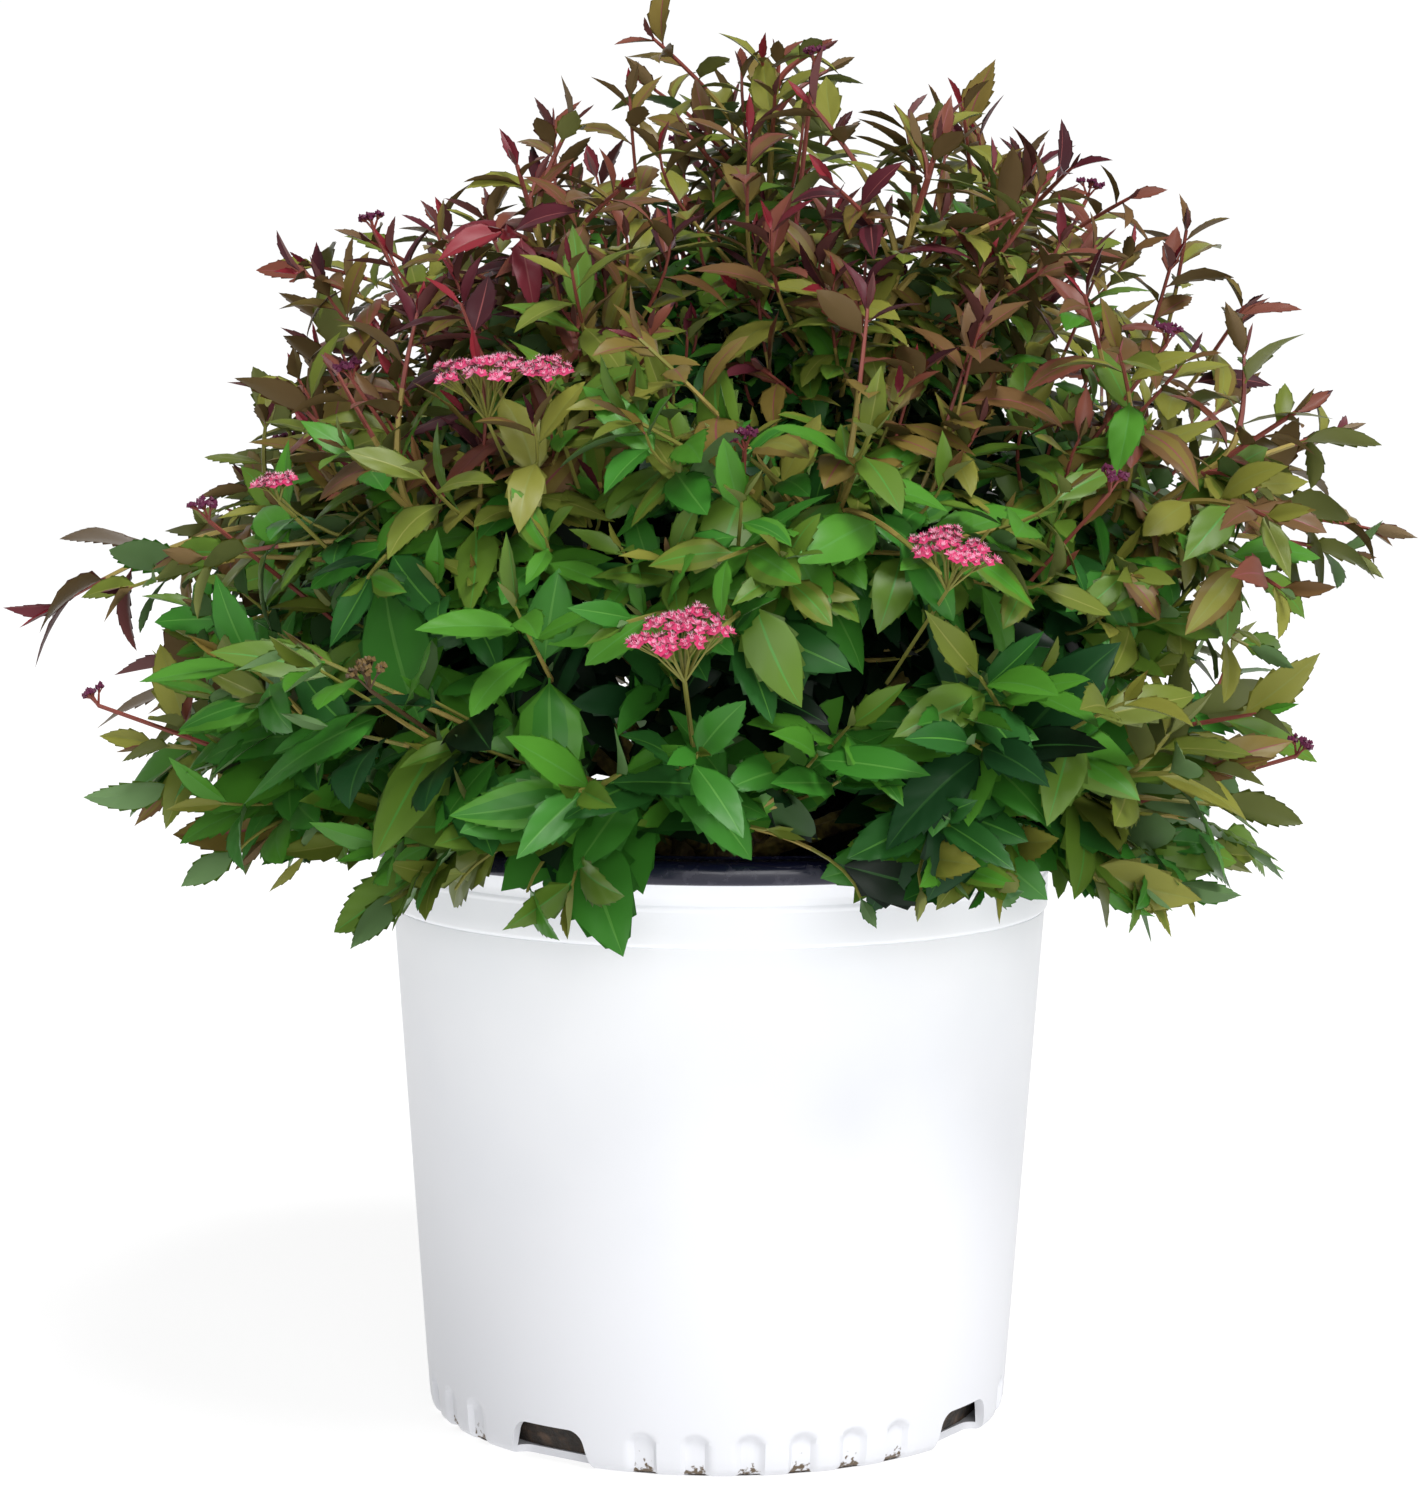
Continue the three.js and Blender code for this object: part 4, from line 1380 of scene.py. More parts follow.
        # The flanks have more sun than the front; the right flank's extra sun is painted light,
        # lighter paints as if lit from the right
        frontal = max(0.0, -math.sin(azimuth)) ** 2
        aside = 0.7 * ease(math.hypot(place[0], place[1]), 185, 270) * (1 - frontal)
        # Painted light: leaves to the right take lighter, sunnier paints
        aside += 0.2 * ease(place[0], 60.0, 220.0)
        patch = float(relief(place, 150.0, 2.0)) * 0.2 * ease(elevation, 0.2, 0.6)
        lit = (high + aside) * ease(RULE.outness(place), 0.45, 0.9) + patch
        return min(1.0, max(0.0, lit))

    def paints(self, place: ndarray, age: float, family: float) -> tuple[int, int, int, int]:
        """Deals a leaf's paints.

        Args:
            place: the leaf's root.
            age: 0 at a shoot's tip, 1 where its leaves are grown.
            family: the shoot's own lean, below nought redder and above it greener.

        Returns:
            The paints of its rib, its blade, its edge and its underside.
        """
        # Ripeness, and past it painted shade, runs along the paints: young leaves are reddest in the
        # sun
        sun = self.sun(place)
        _, elevation, _ = RULE.bearing(place)
        young = mix(0.66, 0.03, min(1.0, sun * 1.3))
        grown = mix(mix(0.735, 0.83, ease(elevation, 0.2, 0.6)), 0.565, sun)
        ripeness_and_shade = mix(young, grown, age) + 0.1 * family + self.dice.bell(0.035)
        # Painted shade: towards the inside they are dealt darker paints, down to near black, and they
        # turn straw on the airy side
        inward = mix(0.08, 0.46, ease(elevation, 0.35, 0.7))
        ripeness_and_shade += inward * ease(1 - RULE.outness(place), 0.2, 0.5)
        straw = 0.7 * ease(place[0], 60.0, 185.0) * (1 - ease(place[2], 420.0, 520.0))
        ripeness_and_shade = mix(ripeness_and_shade, mix(0.61, 0.46, ease(place[2], 250.0, 360.0)) + self.dice.bell(0.15), straw)
        last = len(RIPENING_TO_SHADE) - 1
        step = int(round(min(1.0, max(0.0, ripeness_and_shade)) * last))
        blade = RIPENING_TO_SHADE[step]
        edge = RIPENING_TO_SHADE[max(0, step - 1)] if self.dice.throw() < 0.12 else blade
        rib, under = next(pair for least, *pair in UNDERSIDES if step > last * least)
        return tuple(number_of(paint) for paint in (rib, blade, edge, under))

    def add_leaves(self, shoot: Shoot) -> None:
        """Adds the leaves of a shoot, from its tip back.

        Args:
            shoot: the shoot.
        """
        dice = self.dice
        family = dice.bell(0.85) - redness(shoot.points[-1]) * dice.between(1.3, 4.3)
        roll = dice.between(0, TURN)
        run, number = 0.0, 0
        grown = self.space.tier.leaf * dice.between(0.78, 1.18)
        grown *= mix(1.0, AIRY_LEAF, ease(shoot.points[-1, 0], *AIRY_SIDE))
        while run < shoot.leafy and run < shoot.length * 0.97:
            age = 1 - math.exp(-number / 2.6)
            ripeness = 1 - math.exp(-number / 1.15)
            self.add_leaf(shoot, run, (age, ripeness), roll, grown, family)
            roll += LEAF_TURN + dice.bell(0.25)
            run += mix(1.2, 13.5, age) * (grown / 46) * dice.between(0.8, 1.2)
            number += 1

    def add_leaf(
        self,
        shoot: Shoot,
        run: float,
        ages: tuple[float, float],
        roll: float,
        grown: float,
        family: float,
    ) -> None:
        """Adds one leaf.

        Args:
            shoot: what it grows on.
            run: millimetres from the shoot's tip.
            ages: 0 at the tip, 1 where leaves are grown: in shape and in colour.
            roll: the turn round the shoot at which it leaves.
            grown: the length of the shoot's grown leaves.
            family: the shoot's colour lean.
        """
        dice = self.dice
        age, ripeness = ages
        root, tangent = shoot.at(shoot.length - run)
        flank = unit(np.cross(tangent, UP) + 1e-6)
        lift = np.cross(flank, tangent)
        radial = math.cos(roll) * flank + math.sin(roll) * lift
        lean = 1 - abs(float(tangent[2]))
        radial = unit(radial - 0.65 * lean * float(radial @ lift) * lift)
        outward = unit(root - FOOT)
        opening = math.radians(mix(18, 66, age)) + dice.bell(0.13)
        axis = math.cos(opening) * tangent + math.sin(opening) * radial
        sun = self.sun(root)
        axis = axis - UP * (mix(0.38, 0.2, sun) + dice.bell(0.14)) * age
        axis = unit(axis + outward * 0.25 * age)
        face = unit(tangent - float(tangent @ axis) * axis) * mix(1.0, 0.35, age)
        face = face + UP * 0.75 * age + outward * 0.5 * age
        face = face + flank * dice.bell(0.3)
        face = unit(face - float(face @ axis) * axis)
        length = grown * mix(0.36, 1.0, age) * dice.between(0.82, 1.16)
        leaf = Leaf(
            root=root + radial * shoot.radius(shoot.length - run) * 0.5,
            axis=axis,
            face=face,
            length=length,
            half=length * (grown_to(SLIM, age, sun) * dice.between(0.88, 1.12)),
            base=grown_to(BASE, age, sun),
            point=grown_to(POINT, age, sun) * dice.between(0.85, 1.15),
            fold=grown_to(FOLD, age, sun) * dice.between(0.7, 1.3),
            cup=mix(0.24, 0.34, age) * dice.between(0.85, 1.3),
            bend=grown_to(BEND, age, sun) * dice.between(0.55, 1.5),
            sickle=dice.bell(0.09),
            twist=dice.bell(0.28),
            wave=0.08 * dice.throw(),
            phase=dice.between(0, TURN),
            paints=self.paints(root, ripeness, family),
        )
        form = form_for(length, RULE.outness(root))
        self.leaves.setdefault(form, LeafSet()).leaves.append(leaf)

    def leaf_piece(self, name: str) -> bpy.types.Object:
        """Makes the mass's leaves one piece, without those that leave the crown's space.

        Args:
            name: the piece's name.

        Returns:
            The piece.
        """
        batch = Batch()
        for form in LEAF_FORMS:
            kept = self.leaves.get(form)
            if not kept:
                continue
            for _ in range(RAISINGS):
                shapes = form.shaped(kept)
                cut = RULE.in_pot(shapes, LEAF_GAP).any(axis=1)
                for leaf in np.array(kept.leaves, object)[cut]:
                    self.raise_leaf(leaf)
            shapes = form.shaped(kept)
            clear = allowed(shapes)
            batch.add(shapes[clear], form.shape, form.paints(kept)[clear])
        return batch.piece(name)

    @staticmethod
    def raise_leaf(leaf: Leaf) -> None:
        """Lifts a leaf that cuts the pot, and turns it outwards.

        Args:
            leaf: the leaf, which changes.
        """
        outward = unit((leaf.root - FOOT) * np.array((1.0, 1.0, 0.0)))
        leaf.axis = unit(leaf.axis + UP * 0.3 + outward * 0.25)
        leaf.face = unit(leaf.face - float(leaf.face @ leaf.axis) * leaf.axis)
        leaf.bend *= 0.8

    def twig_piece(self, name: str) -> bpy.types.Object:
        """Makes the mass's stem, twigs and shoots one piece.

        Args:
            name: the piece's name.

        Returns:
            The piece.
        """
        batch = Batch()
        for shoot in self.shoots:
            sides = 6 if shoot.foot_radius > 2 else 5
            radii = shoot.radius(shoot.runs)
            knots = 1 + 0.12 * np.sin(shoot.runs / 2.1) ** 8
            sun = self.sun(shoot.points[-1])
            young = Paint.SHOOT_RED if sun > 0.45 else Paint.SHOOT_OLIVE
            rings = np.repeat(shoot.length - shoot.runs[:-1], sides)
            runs = np.concatenate(([shoot.length], rings, np.zeros(sides)))
            paint = np.where(runs < 32, number_of(young), number_of(Paint.SHOOT_STRAW))
            batch.add_tube(shoot.points, radii * knots, sides, paint)
        return batch.piece(name)


# Where the lip shows under the leaves: azimuth of the middle and half the width, in degrees
CLEARINGS = ((-88, 13), (-114, 5), (-52, 5), (4, 9), (48, 12), (97, 10), (140, 8), (182, 10), (226, 9))
# Where leaves hang lowest over the wall: azimuth, half the width and the height of their tips
TAILS = ((-127, 5, 211), (-104, 4, 213), (-64, 6, 221), (-41, 6, 206), (22, 7, 210))
TAILS += ((70, 6, 214), (164, 6, 210))
HEM_OPEN = 249.0  # mm, the lowest that leaves hang in a clearing
HEM = 223.0  # mm, the lowest elsewhere, on average
HEM_WAVE = 4.0  # mm, how far it rises and falls
HEM_WAVES = 11


def hem_at(places: ndarray) -> ndarray:
    """Works out how low the crown may hang.

    Args:
        places: one or more places.

    Returns:
        The least height there.
    """
    azimuth = np.degrees(np.arctan2(places[..., 1], places[..., 0]))
    limit = HEM + HEM_WAVE * np.sin(np.radians(azimuth * HEM_WAVES))
    for place, half, height in [(p, h, HEM_OPEN) for p, h in CLEARINGS] + list(TAILS):
        swing = np.abs((azimuth - place + 180) % 360 - 180)
        limit = np.where(swing < half, height, limit)
    return limit


def allowed(shapes: ndarray) -> ndarray:
    """Tests which leaves keep to the crown's space.

    They stay clear of the pot and of the way out from the flower heads, over the hem, and
    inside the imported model's box and its allowance.

    Args:
        shapes: the leaves' vertices.

    Returns:
        Whether each does.
    """
    low, high = (np.array(corner) / MM for corner in CAD_BOX)
    slack = BOX_SHARE * (high - low) + BOX_SLACK
    kept = ((shapes > low - slack) & (shapes < high + slack)).all(axis=(1, 2))
    kept &= ~RULE.in_pot(shapes, LEAF_GAP).any(axis=1)
    kept &= shapes[:, :, 2].min(axis=1) > hem_at(shapes.mean(axis=1))
    for x, y, z, width, *_ in BLOSSOMS:
        out = unit(np.array((x, y, 0.2 * math.hypot(x, y))))
        away = shapes - np.array((x, y, z + 3.0))
        along = away @ out
        aside = np.linalg.norm(away - along[..., None] * out, axis=-1)
        kept &= ~((along > -2.0) & (aside < width * 0.58)).any(axis=1)
    return kept


# -------- blossom


@dataclass
class FloretForm:
    """A small five-petalled flower with a cone of stamens, 1 across, its face up."""

    petals: int = 5
    stamens: int = 6

    def __post_init__(self) -> None:
        """Lays out petals, cup and stamens."""
        spots: list[tuple[float, float, float]] = [(0, 0, -0.16), (0, 0, 0.05)]
        faces: list[list[int]] = []
        roles: list[int] = []
        for petal in range(self.petals):
            turn = petal * TURN / self.petals
            first = len(spots)
            for swing, out, rise in ((-0.5, 0.36, 0.12), (0.0, 0.54, 0.2), (0.5, 0.36, 0.12)):
                angle = turn + swing * TURN / self.petals * 0.98
                spots.append((out * math.cos(angle), out * math.sin(angle), rise))
            faces.append([1, first, first + 1, first + 2])
            faces.append([0, first + 2, first + 1, first])
            roles += [petal % 2, 2]
        for stamen in range(self.stamens):
            turn = (stamen + 0.5) * TURN / self.stamens
            first = len(spots)
            for swing in (0.0, TURN / 3, 2 * TURN / 3):
                spots.append((0.05 * math.cos(swing), 0.05 * math.sin(swing), 0.02))
            spots.append((0.24 * math.cos(turn), 0.24 * math.sin(turn), 0.42))
            for side in range(3):
                faces.append([first + side, first + (side + 1) % 3, first + 3])
                roles.append(3)
            faces.append([first + 2, first + 1, first])
            roles.append(3)
        self.spots = np.array(spots, float)
        self.shape = Faces.of(faces)
        self.roles = np.array(roles)


@dataclass
class BudForm:
    """A small closed bud, 1 across: an octahedron drawn up a little."""

    def __post_init__(self) -> None:
        """Lays out the bud."""
        ring = [(0.5 * math.cos(i * TURN / 5), 0.5 * math.sin(i * TURN / 5), 0.0) for i in range(5)]
        self.spots = np.array([(0, 0, -0.5), *ring, (0, 0, 0.6)], float)
        faces = [[0, 1 + (i + 1) % 5, 1 + i] for i in range(5)]
        faces += [[6, 1 + i, 1 + (i + 1) % 5] for i in range(5)]
        self.shape = Faces.of(faces)


class HeadKind(Enum):
    """The kinds of flower head, each with its floret's size in millimetres and its stalk."""

    FRESH = (4.4, Paint.SHOOT_OLIVE)
    DRY = (2.3, Paint.HUSK)
    BUD = (2.1, Paint.SHOOT_RED)


@dataclass
class FlowerHead:
    """A flat head: rays from a stalk, each with a little cluster of florets or buds."""

    middle: ndarray
    width: float
    kind: HeadKind
    seed: int
    flowers: Batch  # takes its florets or buds
    stalks: Batch

    def grow(self) -> None:
        """Adds the head to its batches."""
        dice = self.dice = Dice(self.seed)
        lean = unit(unit(self.middle - FOOT) + UP * 1.9)
        side = unit(np.cross(lean, UP))
        back = np.cross(lean, side)
        depth = 0.45 * self.width
        fork = self.middle - lean * depth
        self.add_stalk(fork - lean * 6 - unit(self.middle - FOOT) * 60, fork, 0.8)
        clusters = max(4, int(round(self.width / 2.8)))
        for cluster in range(clusters):
            share = math.sqrt((cluster + 0.35) / clusters)
            turn = cluster * GOLDEN_TURN + dice.bell(0.2)
            out = 0.42 * self.width * share
            rise = 0.1 * self.width * (1 - share * share) + dice.bell(0.03) * self.width
            head = self.middle + out * (math.cos(turn) * side + math.sin(turn) * back) + rise * lean
            joint = fork + (head - fork) * 0.55 + lean * 0.4
            self.add_stalk(fork, joint, 0.42)
            self.add_cluster(joint, head, unit(lean + 0.5 * unit(head - fork)))

    def add_stalk(self, foot: ndarray, tip: ndarray, radius: float) -> None:
        """Adds a thin stalk between two places.

        Args:
            foot: where it starts.
            tip: where it ends.
            radius: its radius at the tip.
        """
        rings = sides = 4
        _, paint = self.kind.value
        radii = np.linspace(radius * 1.2, radius, rings)
        self.stalks.add_tube(np.linspace(foot, tip, rings), radii, sides, number_of(paint))

    def add_cluster(self, joint: ndarray, head: ndarray, lean: ndarray) -> None:
        """Adds one ray's florets, each on its own thread of stalk.

        Args:
            joint: where the stalks part.
            head: the cluster's middle.
            lean: the way that it faces.
        """
        dice = self.dice
        form = FLORET if self.kind is HeadKind.FRESH else BUD
        size, _ = self.kind.value
        side = unit(np.cross(lean, np.array((0.3, 1.0, 0.1))))
        back = np.cross(lean, side)
        for floret in range(7):
            out = 0.62 * size * (0 if floret == 0 else 1) * dice.between(0.8, 1.2)
            turn = floret * TURN / 6 + dice.bell(0.3)
            place = head + out * (math.cos(turn) * side + math.sin(turn) * back)
            place = place + lean * dice.bell(0.5)
            self.add_stalk(joint, place - lean * size * 0.1, 0.22)
            up = unit(lean + 0.7 * (place - head) / size + side * dice.bell(0.2))
            across = unit(np.cross(up, back + 0.01))
            basis = np.stack((across, np.cross(up, across), up))
            scale = size * dice.between(0.85, 1.15)
            vertices = place + (form.spots * scale) @ basis
            self.flowers.add(vertices[None], form.shape, self.paints(form)[None])

    def paints(self, form: "FloretForm | BudForm") -> ndarray:
        """Deals the paints of one floret or bud.

        Args:
            form: its form.

        Returns:
            The number of each face's paint.
        """
        if self.kind is HeadKind.FRESH:
            second = Paint.PETAL_LIGHT if self.dice.throw() < LIGHT_SHARE else Paint.PETAL
            dealt = (Paint.PETAL, second, Paint.PETAL_DEEP, Paint.STAMEN)
            return np.array([number_of(paint) for paint in dealt])[form.roles]
        paint = Paint.BUD
        if self.kind is HeadKind.DRY:
            paint = Paint.BUD_DRY if self.dice.throw() < DRY_SHARE else Paint.HUSK
        return np.full(len(form.shape.sizes), number_of(paint))


FLORET = FloretForm()
BUD = BudForm()
LIGHT_SHARE = 0.27  # of the florets have light petals
DRY_SHARE = 0.6  # of a dry head's buds are brown, and the rest are dark husks
# Clusters of dark buds: azimuth and elevation in degrees, share of the reach, width in millimetres
BUD_CLUSTERS = (
    (-142, 38, 0.98, 13),
    (-60, 78, 0.97, 10),
    (-131, 48, 0.95, 11),
    (-158, 25, 0.99, 12),
    (-55, 40, 0.93, 14),
    (-22, 22, 0.98, 12),
    (-40, 49, 0.94, 12),
    (-88, 44, 0.9, 12),
    (30, 35, 0.96, 13),
    (75, 52, 0.95, 12),
    (118, 28, 0.97, 14),
    (160, 45, 0.95, 12),
    (200, 62, 0.96, 11),
    (100, 70, 0.96, 12),
    (15, 62, 0.96, 12),
)


@dataclass
class Blossoming:
    """All flower heads and bud clusters of the shrub."""

    def build(self) -> None:
        """Builds the blossom, the buds and their stalks."""
        fresh, buds, stalks = Batch(), Batch(), Batch()
        for number, (x, y, z, width, dry) in enumerate(BLOSSOMS):
            middle = np.array((x, y, z), float)
            kind = HeadKind.DRY if dry else HeadKind.FRESH
            flowers = buds if dry else fresh
            FlowerHead(middle, width, kind, 91 + number, flowers, stalks).grow()
        for number, (azimuth, elevation, share, width) in enumerate(BUD_CLUSTERS):
            turn, rise = math.radians(azimuth), math.radians(elevation)
            middle = RULE.spot_at(turn, rise, RULE.reach(turn, rise) * share)
            FlowerHead(middle, width, HeadKind.BUD, 191 + number, buds, stalks).grow()
        for name, batch in (("blossom", fresh), ("buds", buds), ("flower_stalks", stalks)):
            slot = "cane_bark" if name == "flower_stalks" else "red_leaf"
            dress(batch.piece(name), slot, sharp=50)


# -------- canes and root crown


@dataclass
class Canes:
    """The canes from the root crown to the masses, with nodes and bark relief."""

    foot_radius: float = 3.6
    tip_radius: float = 2.4
    sides: int = 12
    step: float = 2.0  # from ring to ring
    knot_gap: float = 21.0
    bark: Bark = Bark("cane_bark_peeling", ("#5d4a2a", "#93803f", "#a99650"), 0.9, 7.0, 0.35)

    def build(self) -> None:
        """Builds one piece of canes for each tier."""
        for tier in TIERS:
            batch = Batch()
            for index in range(tier.count):
                self.add_cane(batch, RULE.space_of(tier, index))
            nodes = [f"{tier.name}_cane_{index + 1}" for index in range(tier.count)]
            piece = batch.piece(f"{tier.name}_canes")
            dress(piece, "cane_bark", *nodes, sharp=50, finish=self.bark)

    def add_cane(self, batch: Batch, space: Space) -> None:
        """Adds one cane, which runs on a little into its mass's stem.

        Args:
            batch: the batch that takes it.
            space: the mass's space.
        """
        rings = int((space.start - RULE.head_radius) / self.step) + 2
        runs = np.linspace(RULE.head_radius - 2, space.start + 3, rings)
        points = RULE.spot_at(space.azimuth, space.axis, runs)
        share = np.linspace(0, 1, rings)
        radii = self.foot_radius + (self.tip_radius - self.foot_radius) * share
        knots = np.exp(-(((runs % self.knot_gap) - self.knot_gap / 2) ** 2) / 4.0)
        turns = np.arange(self.sides) * TURN / self.sides
        ridges = np.sin(3 * turns[None, :] + runs[:, None] / 11 + space.index)
        flakes = np.sin(7 * turns[None, :] - runs[:, None] / 3.1) * np.sin(runs[:, None] / 2.3)
        wide = radii[:, None] * (1 + 0.16 * knots[:, None] + 0.07 * ridges + 0.05 * flakes)
        batch.add_tube(points, wide, self.sides, number_of(Paint.SHOOT_STRAW))


def turn_profile(name: str, profile: Sequence[tuple[float, float]], steps: int) -> bpy.types.Object:
    """Models a turned piece: a vertex is extruded along a profile and spun round the Z axis.

    Args:
        name: the piece's name.
        profile: radii and heights in millimetres.
        steps: how many steps make a whole turn.

    Returns:
        The closed piece, at the origin.
    """
    select_only()
    radius, height = profile[0]
    bpy.ops.mesh.primitive_plane_add(size=MM, location=(radius * MM, 0, height * MM))
    piece = bpy.context.object
    piece.name = piece.data.name = name
    bpy.ops.object.transform_apply(location=True, rotation=True, scale=True)
    bpy.ops.object.mode_set(mode="EDIT")
    bpy.ops.mesh.select_mode(type="VERT")
    bpy.ops.mesh.select_all(action="SELECT")
    bpy.ops.mesh.merge(type="CENTER")
    for (r0, z0), (r1, z1) in zip(profile, profile[1:]):
        way = ((r1 - r0) * MM, 0, (z1 - z0) * MM)
        bpy.ops.mesh.extrude_region_move(TRANSFORM_OT_translate={"value": way})
    bpy.ops.mesh.select_all(action="SELECT")
    bpy.ops.mesh.spin(steps=steps, angle=TURN, center=(0, 0, 0), axis=(0, 0, 1))
    bpy.ops.mesh.select_all(action="SELECT")
    bpy.ops.mesh.remove_doubles(threshold=0.02 * MM)
    bpy.ops.mesh.normals_make_consistent(inside=False)
    bpy.ops.object.mode_set(mode="OBJECT")
    return piece


def arc(
    radius: float, height: float, size: float, start: float, end: float, steps: int
) -> list[tuple[float, float]]:
    """Lays profile points on an arc.

    Args:
        radius: of the arc's centre from the Z axis.
        height: of its centre.
        size: the arc's own radius.
        start: its first angle in degrees, 0 outwards and 90 up.
        end: its last angle.
        steps: how many stretches it has.

    Returns:
        Their radii and heights.
    """
    angles = [math.radians(mix(start, end, i / steps)) for i in range(steps + 1)]
    return [(radius + size * math.cos(a), height + size * math.sin(a)) for a in angles]


def vertex_places(piece: bpy.types.Object) -> ndarray:
    """Reads a mesh's vertices.

    Args:
        piece: the mesh's object.

    Returns:
        Their places in millimetres.
    """
    flat = np.zeros(len(piece.data.vertices) * 3, np.float32)
    piece.data.vertices.foreach_get("co", flat)
    return flat.reshape(-1, 3).astype(float) / MM


def move_vertices(piece: bpy.types.Object, places: ndarray) -> None:
    """Sets a mesh's vertices, given in millimetres."""
    piece.data.vertices.foreach_set("co", (places * MM).astype(np.float32).ravel())
    piece.data.update()


@dataclass
class RootCrown:
    """The knobbly woody crown that the canes spring from."""

    flare: float = 28.0  # the radius of its foot
    radius: float = 24.0
    foot: float = 210.3  # its height over the pot's foot
    steps: int = 96
    bark: Bark = Bark("old_bark_fissured", ("#3c2f20", "#6a5538", "#8b7650"), 1.4, 8.0, 0.9)

    def build(self) -> None:
        """Turns the crown, then swells its knobs and splits its bark."""
        profile = [(0.0, self.foot), (self.flare, self.foot), (self.flare - 1, self.foot + 3)]
        profile += arc(0.0, RULE.foot[2], self.radius, 8, 90, 18)
        piece = turn_profile("root_crown_bark", profile, self.steps)
        places = vertex_places(piece)
        outward = places - np.array((0, 0, RULE.foot[2] - 4))
        outward /= np.linalg.norm(outward, axis=1)[:, None]
        turns = np.arctan2(places[:, 1], places[:, 0])
        fissures = np.abs(np.sin(9 * turns + relief(places, 16.0, 3.0) * 2.5))
        swell = 0.8 * relief(places, 17.0, 1.0) - 1.3 * (1 - fissures) ** 3 - 0.5
        swell *= (places[:, 2] > self.foot + 0.5) * (places[:, 2] < RULE.foot[2] + self.radius - 0.4)
        move_vertices(piece, places + outward * swell[:, None])
        dress(piece, "old_bark", "root_crown", sharp=50, finish=self.bark)


# -------- the pot


